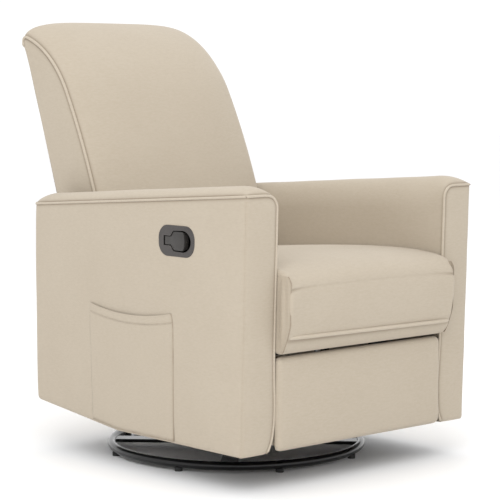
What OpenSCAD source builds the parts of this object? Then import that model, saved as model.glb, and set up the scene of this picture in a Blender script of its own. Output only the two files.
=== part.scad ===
// Glider recliner for a nursery, upholstered, on a round swivel base.
// Millimetres. +Z is up and the chair faces -Y. The sitter's right-hand side is at -X.
// The origin is on the floor, at the centre of the base ring.

/* [Arms] */
// Width over both arms
chair_w = 700; // [690:1:712]
// Thickness of one arm
arm_w = 89; // [88:1:94]
// Height of the arm's outer welt at the front
arm_front_h = 636; // [626:1:646]
// Fall of the arm top towards the rear, degrees
arm_slope = 3.9; // [3.4:0.1:4.4]
// Height of the arm's underside at the front
arm_under = 83; // [80:1:88]
// Rise of the arm pad's crown above the welt
pad_crown = 23; // [18:1:26]

/* [Seat] */
// Top of the seat cushion at its highest
seat_top = 487; // [480:1:492]
// Distance from the swivel axis to the front of the seat cushion
seat_front = 466; // [460:1:470]

/* [Backrest] */
// Height of the backrest's top corners
back_top = 977; // [960:1:985]
// Lean of the backrest's rear face from the vertical, degrees
back_lean = 19.7; // [18.5:0.1:20.5]
// Crown of the back cushion over its middle
back_crown = 44; // [30:1:48]

/* [Base and glide] */
// Outer radius of the base ring
ring_r = 308; // [300:1:320]
// Radius of the ring's tube
tube_r = 10; // [9:0.5:11]
// Length of the hanging glide links, pivot to pivot
glide_l = 125; // [120:1:128]
// Distance from the swivel axis to each row of glide pivots
glide_y = 130; // [125:1:135]

/* [Leg rest] */
// Length of the swinging arm, pivot to pivot
swing_l = 165; // [164:0.5:166]

/* [Handle] */
// Length of the handle's bezel
bezel_l = 121; // [118:1:124]
// Height of the handle's bezel
bezel_h = 68; // [66:1:72]

/* [Hidden] */
$fn = 64;

// Small numbers that several parts share
fit = 0.05;       // radial running clearance of a pin in its bore
gap = 0.3;        // space between soft parts of different bodies
wall = 10;        // padded cover thickness
plate = 4;        // thickness of link and bracket plates
step = 5;         // spacing of neighbouring link plates

// Arms
half_w = chair_w / 2;
inner = half_w - arm_w;
arm_y0 = -426;
arm_y1 = 328;
kink_y = 10;
rear_rise = 37;
rake = 1.76;
panel_t = 14;
pad_t = 48;
pad_drop = pad_t / cos(arm_slope);
pad_mid = 44;
corner_r = 28;
function arm_line(y) = arm_front_h - (y - arm_y0) * tan(arm_slope);
function front_face(z) = arm_y0 + (arm_front_h - z) * tan(rake);

// Base
ring_mid = ring_r - tube_r;
foot_h = 7;
ring_z = foot_h + tube_r;
bar_z = 13;
bar_t = 8;
post_z = bar_z + bar_t;
hub_z = 34;
plate_z = 58;
rail_z = 63;
rail_h = 26;
post_r = 19;

// Glide linkage: rows at +y and -y, one plate lane after another going outwards
glide_top = 232;
glide_bottom = glide_top - glide_l;
lane_u = 148;
lane_g = lane_u + step;
lane_h = lane_g + step;

// Leg rest linkage in the side plane, [y, z]
hip = [-310, 239];
swing_start = -20;
knee = hip + swing_l * [-sin(swing_start), -cos(swing_start)];
ankle = [-370, 227];
lift_l = norm(ankle - knee);
lift_dir = (ankle - knee) / lift_l;
lift_up = [lift_dir[1], -lift_dir[0]];
guide_hip = [-261.7, 244.5];
guide_knee = knee - 30 * lift_dir + 25 * lift_up;
swing_dir = (knee - hip) / swing_l;
swing_up = [swing_dir[1], -swing_dir[0]];
rod_knee = knee + 13 * swing_dir - 20 * swing_up;
rod_ankle = ankle + [28.5, -10.6];
lane0 = 196;
lane1 = lane0 + step;
lane2 = lane1 + step;
lane3 = lane2 + step;
pin_r = 4;
tube_pivot_r = 9;
loose_r = 7.5;
rod_eye_r = 6.3;

// Seat box
bar_low = 272;
bar_top = 290;
rail_top = 325;
deck_z = 334.5;
deck_half = inner - 8;
cushion_z = 340;
cushion_half = inner - 3;
side_rail_x = 232;

// Backrest: the rear face runs from rear_foot, and the front welt line from front_foot
back_half = inner - 3;
back_in = back_half - wall - gap;
rear_foot = [275, 345];
front_foot = [119, 345];
recline_pivot = [215, 337];
back_low = 376;
back_under = 467;
post_x = 223;

// Handle: centre of its bezel on the outside of the right-hand arm
handle_y = -202.5;
handle_z = 530;
cup_depth = 24;
paddle_pivot_y = handle_y + 36;

// A side-plane outline [y, z] drawn out along +X from x
module side_plate(pts, x, t) {
    translate([x, 0, 0]) rotate([90, 0, 90]) linear_extrude(t) polygon(pts);
}

// A round bar along +X at [y, z]
module x_pin(p, r, x, l) {
    translate([x, p[0], p[1]]) rotate([0, 90, 0]) cylinder(r = r, h = l);
}

// The same on both sides of the chair
module both_sides() {
    for (s = [0, 1]) mirror([s, 0, 0]) children();
}

// A flat link with round ends and a bore at each end
module link_plate(p, q, w, x, hole_p, hole_q) {
    d = (q - p) / norm(q - p);
    n = [d[1], -d[0]] * w;
    difference() {
        union() {
            side_plate([p + n, q + n, q - n, p - n], x, plate);
            x_pin(p, w, x, plate);
            x_pin(q, w, x, plate);
        }
        x_pin(p, hole_p, x - 1, plate + 2);
        x_pin(q, hole_q, x - 1, plate + 2);
    }
}

// A rectangle with round corners, centred
module round_rect(w, h, r) {
    square([w - 2 * r, h], center = true);
    square([w, h - 2 * r], center = true);
    for (x = [-1, 1], y = [-1, 1]) translate([x * (w / 2 - r), y * (h / 2 - r)]) circle(r);
}

// Points of an arc about c, from angle a to angle b
function arc(c, r, a, b, n) = [for (i = [0:n]) c + r * [cos(a + (b - a) * i / n), sin(a + (b - a) * i / n)]];

// A row of half rings that makes a zigzag wire spring along +Y
module zigzag(count, r, wire) {
    for (i = [0:count - 1])
        translate([0, (2 * i + 1) * r, 0])
            rotate([0, 0, i % 2 == 0 ? -90 : 90])
                rotate_extrude(angle = 180) translate([r, 0]) circle(wire, $fn = 24);
}

// ---- Base ----

module ring_tube(extra) {
    translate([0, 0, ring_z]) rotate_extrude($fn = 128) translate([ring_mid, 0]) circle(tube_r + extra);
}

module base_ring() {
    color("#1b1b1c") ring_tube(0);
}

module base_feet() {
    color("#151515") difference() {
        for (i = [0:7])
            rotate([0, 0, 22.5 + 45 * i]) translate([ring_mid, 0, 0]) cylinder(r = 9, h = foot_h + 2);
        ring_tube(fit);
    }
}

module base_cross_bars() {
    color("#1b1b1c") difference() {
        for (a = [45, 135])
            rotate([0, 0, a]) translate([-ring_mid, -20, bar_z]) cube([2 * ring_mid, 40, bar_t]);
        ring_tube(fit);
    }
}

module swivel_post() {
    color("#2a2a2b") {
        translate([0, 0, post_z]) cylinder(r = 75, h = 6);
        difference() {
            translate([0, 0, post_z]) cylinder(r = post_r, h = 51);
            translate([0, 0, 66]) rotate_extrude() translate([post_r - 2, 0]) square([4, 2.2]);
        }
    }
}

module lower_race() {
    color("#8d8f92") translate([0, 0, post_z + 6]) difference() {
        cylinder(r = 45, h = hub_z - post_z - 6 - gap);
        translate([0, 0, -1]) cylinder(r = post_r + fit, h = 20);
    }
}

module post_circlip() {
    color("#6d6f72") translate([0, 0, 66.1]) difference() {
        cylinder(r = post_r + 5, h = 2);
        translate([0, 0, -1]) cylinder(r = post_r - 2 + fit, h = 4);
        translate([0, -2.5, -1]) cube([40, 5, 4]);
    }
}

// ---- Swivel carriage ----

module swivel_hub() {
    color("#8d8f92") translate([0, 0, hub_z]) difference() {
        cylinder(r = 32, h = plate_z - hub_z);
        translate([0, 0, -1]) cylinder(r = post_r + fit, h = 40);
    }
}

module carriage_plate() {
    color("#1f1f20") difference() {
        translate([-142, -90, plate_z]) cube([284, 180, rail_z - plate_z]);
        translate([0, 0, plate_z - 1]) cylinder(r = post_r + 0.5, h = 10);
    }
}

module carriage_rails() {
    color("#1f1f20") both_sides() translate([118, -165, rail_z]) difference() {
        cube([24, 330, rail_h]);
        translate([2.5, -1, 2.5]) cube([19, 332, rail_h - 5]);
    }
}

// Upright plate that carries one row of glide pivots; dir is -1 for the front row
module uprights(dir) {
    y = dir * glide_y;
    color("#1f1f20") both_sides() difference() {
        union() {
            side_plate([[y - 30, rail_z], [y + 30, rail_z], [y + 14, glide_top], [y - 14, glide_top]],
                lane_u, plate);
            x_pin([y, glide_top], 14, lane_u, plate);
            translate([142, y - 25, rail_z]) cube([lane_u - 142, 50, rail_h]);
        }
        x_pin([y, glide_top], 5, lane_u - 1, plate + 2);
    }
}

module front_uprights() {
    uprights(-1);
}

module rear_uprights() {
    uprights(1);
}

module upper_glide_pins() {
    color("#a8aaad") both_sides() for (y = [-glide_y, glide_y]) {
        x_pin([y, glide_top], 5, lane_u, step + plate);
        x_pin([y, glide_top], 8, lane_u - 3, 3);
    }
}

// ---- Glide links ----

module glide_links(y) {
    color("#2a2a2b") both_sides()
        link_plate([y, glide_top], [y, glide_bottom], 11, lane_g, 5 + fit, 5 + fit);
}

module front_glide_links() {
    glide_links(-glide_y);
}

module rear_glide_links() {
    glide_links(glide_y);
}

// ---- Seat unit: steel and wood ----

// Plates that reach down from the cross bars to the lower glide pins
module hangers(y, hole) {
    color("#1f1f20") both_sides() difference() {
        union() {
            side_plate([[y - 14, glide_bottom], [y + 14, glide_bottom], [y + 24, bar_low], [y - 24, bar_low]],
                lane_h, plate);
            x_pin([y, glide_bottom], 14, lane_h, plate);
        }
        x_pin([y, glide_bottom], hole, lane_h - 1, plate + 2);
    }
}

module front_hangers() {
    hangers(-glide_y, 5);
}

module rear_hangers() {
    hangers(glide_y, 5);
}

// The rear pins stand short of full size, so that the linkage stays open there
module lower_glide_pins() {
    color("#a8aaad") both_sides() {
        for (y = [-glide_y, glide_y]) {
            x_pin([y, glide_bottom], 5, lane_h, plate);
            x_pin([y, glide_bottom], y < 0 ? 5 : 4.4, lane_g, step);
            x_pin([y, glide_bottom], 8, lane_h + plate, 3);
        }
    }
}

module seat_cross_bars() {
    color("#2a2a2b") for (y = [-285, -glide_y, glide_y])
        translate([-259, y - 16, bar_low]) cube([518, 32, bar_top - bar_low]);
}

bolt_spots = [[-300, 307], [-80, 307], [120, 307]];

module seat_side_rails() {
    color("#c9a877") both_sides() difference() {
        translate([side_rail_x, -367, bar_top]) cube([22, 525, rail_top - bar_top]);
        for (p = bolt_spots) x_pin(p, 4 + fit, side_rail_x - 1, 24);
    }
}

module front_rail() {
    color("#c9a877") translate([-inner + gap, -395, 298]) cube([2 * (inner - gap), 27.7, rail_top - 298]);
}

module rear_rail() {
    color("#c9a877") {
        translate([-inner + gap, 242, 236]) cube([2 * (inner - gap), 26, 48]);
        translate([-side_rail_x, 138, bar_top]) cube([2 * side_rail_x, 20, rail_top - bar_top]);
    }
}

module seat_springs() {
    color("#7d8085") for (x = [-180, -90, 0, 90, 180]) translate([x, -374, 329]) zigzag(15, 17.2, 1.9);
}

module deck_pad() {
    color("#3a3a3a") translate([-deck_half, -390, deck_z]) cube([2 * deck_half, 545, 4]);
}

// Side outline of the seat cushion, with the roll that hangs over its front rail
cushion_pts = concat(
    [[155, cushion_z], [-397, cushion_z], [-397, 300]],
    arc([-420, 316], 22, -60, -200, 6),
    [[-451, 326], [-455, 332]],
    [[-seat_front + 1, 372], [-seat_front, 410], [-seat_front + 3, 440]],
    arc([-418, seat_top - 52], 45, 165, 98, 6),
    [[-330, seat_top], [-240, seat_top], [-130, seat_top - 5], [0, seat_top - 14], [155, seat_top - 26]]
);

module seat_cushion() {
    color("#cfc4b2") side_plate(cushion_pts, -cushion_half, 2 * cushion_half);
}

module rear_panel() {
    color("#cfc4b2") translate([-inner + gap, 308, 118]) cube([2 * (inner - gap), 18, 206]);
}

// ---- Arms ----

// Upright prism that rounds the arm's two rear corners in plan
module arm_plan(inset) {
    r = corner_r - inset;
    translate([0, 0, 40]) linear_extrude(700) {
        translate([inner + inset, -460]) square([arm_w - 2 * inset, 460 + arm_y1 - corner_r]);
        translate([inner + inset + r, 0]) square([arm_w - 2 * inset - 2 * r, arm_y1 - inset]);
        for (x = [inner + inset + r, half_w - inset - r]) translate([x, arm_y1 - inset - r]) circle(r);
    }
}

// Where the pad's underside meets the back of the raked front panel
pad_foot_y = arm_y0 + (panel_t + pad_drop * tan(rake)) / (1 - tan(arm_slope) * tan(rake));

// Side outline of the arm under its pad, inset by t
function arm_pts(t) = [
    [pad_foot_y + t, arm_line(pad_foot_y) - pad_drop - t],
    [front_face(arm_under) + panel_t + t, arm_under + t],
    [kink_y, arm_under + t],
    [arm_y1 - 18, arm_under + rear_rise - 2 + t],
    [arm_y1 - t, arm_under + rear_rise + 16 + t],
    [arm_y1 - t, arm_line(arm_y1) - pad_drop - t]
];

// Section of the arm's top, [x, height above the welt], from the outer edge to the inner
crown_pts = concat(
    [for (a = [0:10:80]) [half_w - pad_mid + pad_mid * cos(a), pad_crown * sin(a)]],
    [for (a = [0:9:90]) [
        half_w - pad_mid - (arm_w - pad_mid) * sin(a),
        -pad_t + (pad_t + pad_crown) * cos(a)
    ]]
);

module arm_frame() {
    difference() {
        union() {
            side_plate([[-380, 96], [0, 96], [300, 136], [300, 515], [-380, 562]], inner + wall + 1, 12);
            translate([inner + wall + 13, -384, 97]) cube([34, 34, 460]);
            translate([inner + wall + 13, 262, 140]) cube([34, 30, 375]);
        }
        for (p = bolt_spots) x_pin(p, 4 + fit, inner, 60);
    }
}

module arm_cover() {
    difference() {
        intersection() {
            side_plate(arm_pts(0), inner, arm_w);
            arm_plan(0);
        }
        intersection() {
            side_plate(arm_pts(wall), inner + wall, arm_w - 2 * wall);
            arm_plan(wall);
        }
        for (p = bolt_spots) x_pin(p, 4 + fit, inner - 1, 14);
    }
}

// Points the flat section's second axis up and its depth towards the rear
module along_arm(y, z, tilt, l) {
    translate([0, y, z]) rotate([90 - tilt, 0, 0]) mirror([0, 0, 1]) linear_extrude(l) children();
}

// The space in front of the plane where the arm's pad and cover meet its front panel
module ahead_of_pad() {
    side_plate([[-500, 480], [front_face(480) + panel_t, 480], [front_face(700) + panel_t, 700], [-500, 700]],
        inner - 1, arm_w + 2);
}

module arm_pad() {
    difference() {
        intersection() {
            along_arm(arm_y0, arm_front_h, arm_slope, 800) polygon(concat([[half_w, -pad_t]], crown_pts));
            arm_plan(0);
        }
        ahead_of_pad();
    }
}

module arm_front() {
    drop = arm_front_h - arm_under;
    along_arm(arm_y0, arm_front_h, -rake, panel_t * cos(rake))
        polygon(concat([[half_w, -drop]], crown_pts, [[inner, -drop]]));
}

module arm_frame_left() {
    color("#c9a877") arm_frame();
}

module arm_frame_right() {
    color("#c9a877") mirror([1, 0, 0]) arm_frame();
}

module arm_cover_left() {
    color("#cfc4b2") arm_cover();
}

module arm_cover_right() {
    color("#cfc4b2") difference() {
        mirror([1, 0, 0]) arm_cover();
        translate([-half_w - 1, handle_y, handle_z]) rotate([90, 0, 90])
            linear_extrude(wall + 2) round_rect(bezel_l - 10, bezel_h - 10, 20);
    }
}

module arm_pad_left() {
    color("#cfc4b2") arm_pad();
}

module arm_pad_right() {
    color("#cfc4b2") mirror([1, 0, 0]) arm_pad();
}

module arm_front_left() {
    color("#cfc4b2") arm_front();
}

module arm_front_right() {
    color("#cfc4b2") mirror([1, 0, 0]) arm_front();
}

module arm_bolts() {
    color("#a8aaad") both_sides() for (p = bolt_spots) {
        x_pin(p, 4, side_rail_x - 4, 56);
        x_pin(p, 7, side_rail_x - 4, 4);
    }
}

// Side pocket: a sheet held off the arm by its stitched edges, open along its sagging top
pocket_y0 = -191;
pocket_y1 = 113;
pocket_top = 370;
pocket_sag = 15;
pocket_bulge = 5;
function pocket_edge(y) = pocket_top - pocket_sag
    + pocket_sag * pow(2 * (y - pocket_y0) / (pocket_y1 - pocket_y0) - 1, 2);
function pocket_outline(inset, rim) = concat(
    [[pocket_y0 + inset, arm_under + 5 + inset], [kink_y, arm_under + 5 + inset],
     [pocket_y1 - inset, arm_under + 17 + inset]],
    [for (i = [8:-1:0]) let (y = pocket_y0 + inset + (pocket_y1 - pocket_y0 - 2 * inset) * i / 8)
        [y, pocket_edge(y) + rim]]
);

module side_pocket() {
    color("#cabfac") difference() {
        side_plate(pocket_outline(0, 0), -half_w - pocket_bulge - 2.5, pocket_bulge + 2.5);
        side_plate(pocket_outline(5, 9), -half_w - pocket_bulge, pocket_bulge + 1);
    }
}

// ---- Handle ----

module handle_bezel() {
    color("#4a4746") translate([-half_w, handle_y, handle_z]) rotate([90, 0, 90]) difference() {
        union() {
            translate([0, 0, -4]) linear_extrude(4) round_rect(bezel_l, bezel_h, 24);
            linear_extrude(cup_depth) round_rect(bezel_l - 12, bezel_h - 12, 19);
        }
        translate([0, 0, -5]) linear_extrude(cup_depth + 2) round_rect(bezel_l - 18, bezel_h - 18, 16);
        translate([paddle_pivot_y - handle_y, -40, 6]) rotate([-90, 0, 0]) cylinder(r = 2 + fit, h = 80);
    }
}

module handle_pin() {
    color("#a8aaad") translate([-half_w + 6, paddle_pivot_y, handle_z - 27]) cylinder(r = 2, h = 54);
}

module handle_spring() {
    color("#7d8085") for (i = [0:3])
        translate([-half_w + 6, paddle_pivot_y, handle_z + 14 + 2.2 * i])
            rotate_extrude() translate([4.2, 0]) circle(0.9, $fn = 24);
}

// Pull paddle: a narrow stem on the pin and a wide head in front of it
module handle_paddle() {
    color("#3b3938") translate([-half_w, 0, 0]) difference() {
        union() {
            translate([1, paddle_pivot_y, handle_z - 10]) translate([5, 0, 0]) cylinder(r = 5, h = 20);
            translate([-2, paddle_pivot_y - 24, handle_z - 9.5]) cube([9, 24, 19]);
            translate([-3, paddle_pivot_y - 42, handle_z]) rotate([90, 0, 90])
                linear_extrude(9) round_rect(40, 43, 6);
        }
        translate([6, paddle_pivot_y, handle_z - 20]) cylinder(r = 2 + fit, h = 40);
    }
}

// Sheathed cable from the handle's cup down to the leg rest's bracket
cable_r = 2.5;
cable_route = [
    [-324, -168, 520], [-321, -172, 500], [-318, -182, 470], [-316, -196, 430], [-315, -212, 390],
    [-314, -228, 350], [-312, -240, 310], [-308, -247, 280], [-301, -251, 258], [-292, -253, 246]
];
function cable_point(i) = let (n = len(cable_route) - 1, k = min(floor(i), n - 1), f = i - k)
    cable_route[k] * (1 - f) + cable_route[k + 1] * f;
function unit(v) = v / norm(v);

module release_cable() {
    rings = 2 * (len(cable_route) - 1);
    sides = 8;
    pts = [for (i = [0:rings])
        let (p = cable_point(i / 2), q = unit(cable_point(min(i / 2 + 0.5, rings / 2))
            - cable_point(max(i / 2 - 0.5, 0))), a = unit(cross(q, [0, 1, 0])), b = cross(q, a))
        for (j = [0:sides - 1]) p + cable_r * (cos(360 * j / sides) * a + sin(360 * j / sides) * b)];
    color("#222222") polyhedron(pts, concat(
        [[for (j = [sides - 1:-1:0]) j]],
        [for (i = [0:rings - 1], j = [0:sides - 1]) [
            i * sides + j, i * sides + (j + 1) % sides,
            (i + 1) * sides + (j + 1) % sides, (i + 1) * sides + j
        ]],
        [[for (j = [0:sides - 1]) rings * sides + j]]
    ));
}

// ---- Recline hinge on the seat ----

module recline_brackets() {
    p = recline_pivot;
    color("#2a2a2b") both_sides() difference() {
        union() {
            side_plate([[60, bar_top + 2], [p[0] - 20, bar_top + 2], p + [14, -8], p + [-10, 12], [165, 330],
                [60, rail_top]], 254.5, 3);
            x_pin(p, 17, 254.5, 3);
        }
        x_pin(p, 6, 250, 12);
        x_pin(bolt_spots[2], 4 + fit, 250, 12);
    }
}

module recline_pins() {
    color("#a8aaad") both_sides() {
        x_pin(recline_pivot, 6, 244, 13.5);
        x_pin(recline_pivot, 10, 244, 3);
    }
}

module legrest_brackets() {
    color("#2a2a2b") both_sides() {
        difference() {
            side_plate([hip + [-16, -12], hip + [8, -18], guide_hip + [8, -14], guide_hip + [16, 0],
                [-250, bar_low], [-322, bar_low]], lane0, plate);
            x_pin(hip, tube_pivot_r + fit, lane0 - 1, plate + 2);
            x_pin(guide_hip, pin_r, lane0 - 1, plate + 2);
        }
        x_pin(guide_hip, pin_r, lane0, 3 * step + plate);
    }
}

// ---- Backrest ----

rear_dir = [sin(back_lean), cos(back_lean)];
rear_head = rear_foot + rear_dir * (back_top - 17 - rear_foot[1]) / rear_dir[1];
front_dir = [sin(20), cos(20)];
top_turn = 71.5;
quick_r = (back_top - 850.7) / (sin(top_turn) - sin(29));

// Front welt line of the back, pulled in by t: straight, then a slow bend, then a quick one over the top
function turn(p, h, r, a, n) = [for (i = [1:n]) let (b = a * i / n)
    p + r * [cos(h) - cos(h + b), -sin(h) + sin(h + b)]];
function front_line(t) = let (
    p0 = front_foot + t * [cos(20), -sin(20)], p1 = p0 + front_dir * 295,
    slow = turn(p1, 20, 1600 - t, 9, 4), quick = turn(slow[3], 29, quick_r - t, top_turn - 29, 7)
) concat([p0, p1], slow, quick);
function last(v) = v[len(v) - 1];
// Top corner: from the end of the front line round to the rear face
function top_corner(p) = let (
    s = (rear_head[0] - p[0] + (p[1] - rear_head[1]) * tan(back_lean))
        / (sin(top_turn) - cos(top_turn) * tan(back_lean)),
    c = p + s * [sin(top_turn), cos(top_turn)]
) [for (i = [1:5]) let (f = i / 5) (1 - f) * (1 - f) * p + 2 * f * (1 - f) * c + f * f * rear_head];
function back_outline(t) = concat(front_line(t), top_corner(last(front_line(t))), [rear_foot]);

module back_hinge_plates() {
    color("#2a2a2b") both_sides() difference() {
        union() {
            side_plate([recline_pivot + [-16, 0], recline_pivot + [16, 0], [252, 373], [208, 373]],
                247.7, 5.8);
            x_pin(recline_pivot, 16, 247.7, 5.8);
        }
        x_pin(recline_pivot, 6 + fit, 240, 20);
    }
}

// Slanted post outline: parallel to the rear face, from height a to height b
function slant(off, w, a, b) = [for (c = [[off, a], [off + w, a], [off + w, b], [off, b]])
    [rear_foot[0] + (c[1] - rear_foot[1]) * tan(back_lean) - c[0], c[1]]];

module back_posts() {
    color("#c9a877") both_sides() side_plate(slant(11, 42, 350, 850), post_x, back_half - 11 - post_x);
}

module back_cross_rails() {
    color("#c9a877") for (z = [380, 600, 820]) side_plate(slant(14, 24, z, z + 45), -post_x, 2 * post_x);
}

module back_springs() {
    color("#7d8085") for (z = [450, 505, 560, 670, 725, 780])
        translate([0, rear_foot[0] + (z - rear_foot[1]) * tan(back_lean) - 52, z])
            rotate([0, 0, -90]) translate([0, -221, 0]) zigzag(13, 17, 1.7);
}

// Slices of the back, fuller towards the middle, joined into one crowned solid
module back_form() {
    hull() for (s = [-1, 1], u = [0, 0.3, 0.55, 0.76, 0.9, 0.958]) {
        full = back_crown * sqrt(1 - pow(u, 3));
        line = front_line(-full);
        side_plate(concat(
            [[front_foot[0] + 30, rear_foot[1]]], [for (i = [1:len(line) - 1]) line[i]],
            top_corner(last(line)), [rear_foot]
        ), s * u * back_half - 0.5, 1);
    }
}

// The space over the rear of the seat cushion, which the back stays out of
module over_seat(x, w) {
    translate([x, -100, 200]) cube([w, 258.5, back_under - 200]);
}

module back_cushion() {
    inset = concat(front_line(48), [rear_head + [40, -70], rear_foot + [40, -40], rear_foot - [60, 40]]);
    color("#cfc4b2") difference() {
        back_form();
        side_plate(inset, -back_half + 11, 2 * back_half - 22);
        over_seat(-300, 600);
        side_plate([rear_foot - [9, 0], rear_foot + [60, 0], rear_head + [60, -12],
            rear_head - [9 + 12 * tan(back_lean), 12]], -300, 600);
    }
}

module back_side_panels() {
    color("#cfc4b2") both_sides() difference() {
        side_plate(back_outline(0), back_in + gap, wall);
        translate([200, 0, 200]) cube([100, 700, back_low - 200]);
        over_seat(200, 100);
    }
}

module back_rear_panel() {
    color("#cfc4b2") side_plate(slant(0, 8, rear_foot[1] + 10, rear_head[1] - 12.5), -back_in, 2 * back_in);
}

// ---- Leg rest ----

module torque_tube() {
    color("#2a2a2b") x_pin(hip, tube_pivot_r, -lane1 - plate, 2 * (lane1 + plate));
}

module swing_arms() {
    color("#3a3a3b") both_sides() difference() {
        union() {
            link_plate(hip, knee, 13, lane1, tube_pivot_r + fit, pin_r + fit);
            side_plate([knee + 12 * swing_up, rod_knee + 10 * swing_dir, rod_knee - 10 * swing_up,
                knee - 40 * swing_dir - 12 * swing_up], lane1, plate);
            x_pin(rod_knee, 10, lane1, plate);
        }
        x_pin(knee, pin_r + fit, lane1 - 1, plate + 2);
        x_pin(rod_knee, pin_r + fit, lane1 - 1, plate + 2);
    }
}

module lift_links() {
    color("#3a3a3b") both_sides() difference() {
        union() {
            link_plate(knee, ankle, 8.5, lane2, pin_r, pin_r);
            side_plate([knee + 10 * lift_dir + 8 * lift_up, guide_knee + 9 * lift_up,
                guide_knee - 9 * lift_dir, knee - 10 * lift_dir - 8 * lift_up], lane2, plate);
            x_pin(guide_knee, 11, lane2, plate);
        }
        x_pin(knee, pin_r, lane2 - 1, plate + 2);
        x_pin(guide_knee, pin_r, lane2 - 1, plate + 2);
    }
}

// The rods' rear pins turn in the swinging arms; their front eyes stay a little loose
module turning_rods() {
    color("#3a3a3b") both_sides() {
        link_plate(rod_knee, rod_ankle, 9, lane0, pin_r, rod_eye_r);
        x_pin(rod_knee, pin_r, lane0, step + plate);
    }
}

module guide_links() {
    color("#3a3a3b") both_sides() link_plate(guide_hip, guide_knee, 11, lane3, pin_r + fit, loose_r);
}

// Pins of the lifting links: at the knee, at the ankle and in the guide link's wide eye
module legrest_pins() {
    color("#a8aaad") both_sides() {
        x_pin(knee, pin_r, lane1, step + plate);
        x_pin(ankle, pin_r, lane1, step + plate);
        x_pin(guide_knee, pin_r, lane2, step + plate);
    }
}

module footboard_brackets() {
    color("#3a3a3b") both_sides() {
        difference() {
            union() {
                side_plate([[-379, 272], [-379, 190], rod_ankle + [4, -10], rod_ankle + [8, 6],
                    ankle + [4, 12], [-374, 272]], lane1, plate);
                x_pin(rod_ankle, 10, lane1, plate);
                x_pin(ankle, 9, lane1, plate);
                translate([lane1 - 22, -379, 190]) cube([26, 3, 82]);
            }
            x_pin(ankle, pin_r + fit, lane1 - 1, plate + 2);
        }
        x_pin(rod_ankle, pin_r, lane0, step + plate);
    }
}

module footboard_core() {
    color("#c9a877") translate([-244, -391.7, 98]) cube([488, 12.7, 182]);
}

module footboard_pad() {
    color("#cfc4b2") translate([0, -392, 187.5]) rotate([90, 0, 0])
        linear_extrude(34) round_rect(2 * (inner - 4), 207, 12);
}

base_ring();
base_feet();
base_cross_bars();
swivel_post();
lower_race();
post_circlip();
swivel_hub();
carriage_plate();
carriage_rails();
front_uprights();
rear_uprights();
upper_glide_pins();
front_glide_links();
rear_glide_links();
front_hangers();
rear_hangers();
lower_glide_pins();
seat_cross_bars();
seat_side_rails();
front_rail();
rear_rail();
seat_springs();
deck_pad();
seat_cushion();
rear_panel();
arm_frame_right();
arm_frame_left();
arm_cover_right();
arm_cover_left();
arm_pad_right();
arm_pad_left();
arm_front_right();
arm_front_left();
arm_bolts();
side_pocket();
handle_bezel();
handle_pin();
handle_spring();
handle_paddle();
release_cable();
recline_brackets();
recline_pins();
legrest_brackets();
back_hinge_plates();
back_posts();
back_cross_rails();
back_springs();
back_cushion();
back_side_panels();
back_rear_panel();
torque_tube();
swing_arms();
lift_links();
turning_rods();
guide_links();
legrest_pins();
footboard_brackets();
footboard_core();
footboard_pad();
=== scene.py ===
"""Upholstery, finishes and studio for the nursery glider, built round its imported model."""

import sys

import logging
import math
from dataclasses import dataclass
from enum import Enum
from typing import Any, Callable, Optional, Sequence, Union

import bmesh
import bpy
import numpy as np
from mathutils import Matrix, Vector


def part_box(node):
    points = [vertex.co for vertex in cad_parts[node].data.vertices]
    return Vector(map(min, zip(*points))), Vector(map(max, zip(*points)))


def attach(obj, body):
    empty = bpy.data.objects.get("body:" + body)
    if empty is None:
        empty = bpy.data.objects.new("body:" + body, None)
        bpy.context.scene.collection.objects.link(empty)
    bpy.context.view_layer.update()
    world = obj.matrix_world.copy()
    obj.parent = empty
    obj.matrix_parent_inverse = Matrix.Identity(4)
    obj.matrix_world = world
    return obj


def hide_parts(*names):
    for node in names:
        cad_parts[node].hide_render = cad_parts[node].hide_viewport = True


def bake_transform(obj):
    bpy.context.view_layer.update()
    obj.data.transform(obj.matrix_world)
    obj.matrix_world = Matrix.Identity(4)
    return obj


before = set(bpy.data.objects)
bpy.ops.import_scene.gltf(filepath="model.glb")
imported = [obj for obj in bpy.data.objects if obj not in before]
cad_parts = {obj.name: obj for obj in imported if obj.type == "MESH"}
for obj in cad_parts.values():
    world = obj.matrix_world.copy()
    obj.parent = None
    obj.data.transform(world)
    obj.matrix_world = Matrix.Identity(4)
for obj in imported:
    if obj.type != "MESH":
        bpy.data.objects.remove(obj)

log = logging.getLogger("glider")

Colour = tuple[float, float, float]
Grid = np.ndarray
MM = 0.001


class Side(Enum):
    """The sitter's two sides, with the sign of their X."""

    RIGHT = -1
    LEFT = 1


class Body(str, Enum):
    """The bodies that carry new pieces."""

    BASE = "base"
    SEAT = "seat"
    BACK = "backrest"
    PADDLE = "paddle"
    FOOTBOARD = "footboard"


# ---------------------------------------------------------------- shaders


class Wire:
    """A shader socket that takes part in Python arithmetic."""

    def __init__(self, graph: "Graph", socket: bpy.types.NodeSocket) -> None:
        """Keeps the socket and the graph that it belongs to."""
        self.graph = graph
        self.socket = socket

    def __add__(self, other: "Operand") -> "Wire":
        """Sum."""
        return self.graph.maths("ADD", self, other)

    __radd__ = __add__

    def __mul__(self, other: "Operand") -> "Wire":
        """Product."""
        return self.graph.maths("MULTIPLY", self, other)

    __rmul__ = __mul__

    def __sub__(self, other: "Operand") -> "Wire":
        """Difference."""
        return self.graph.maths("SUBTRACT", self, other)

    def __rsub__(self, other: "Operand") -> "Wire":
        """Difference with the wire on the right."""
        return self.graph.maths("SUBTRACT", other, self)

    def __pow__(self, other: "Operand") -> "Wire":
        """Power."""
        return self.graph.maths("POWER", self, other)

    def sine(self) -> "Wire":
        """Sine of the value."""
        return self.graph.maths("SINE", self, 0.0)


Operand = Union[Wire, float]


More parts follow.
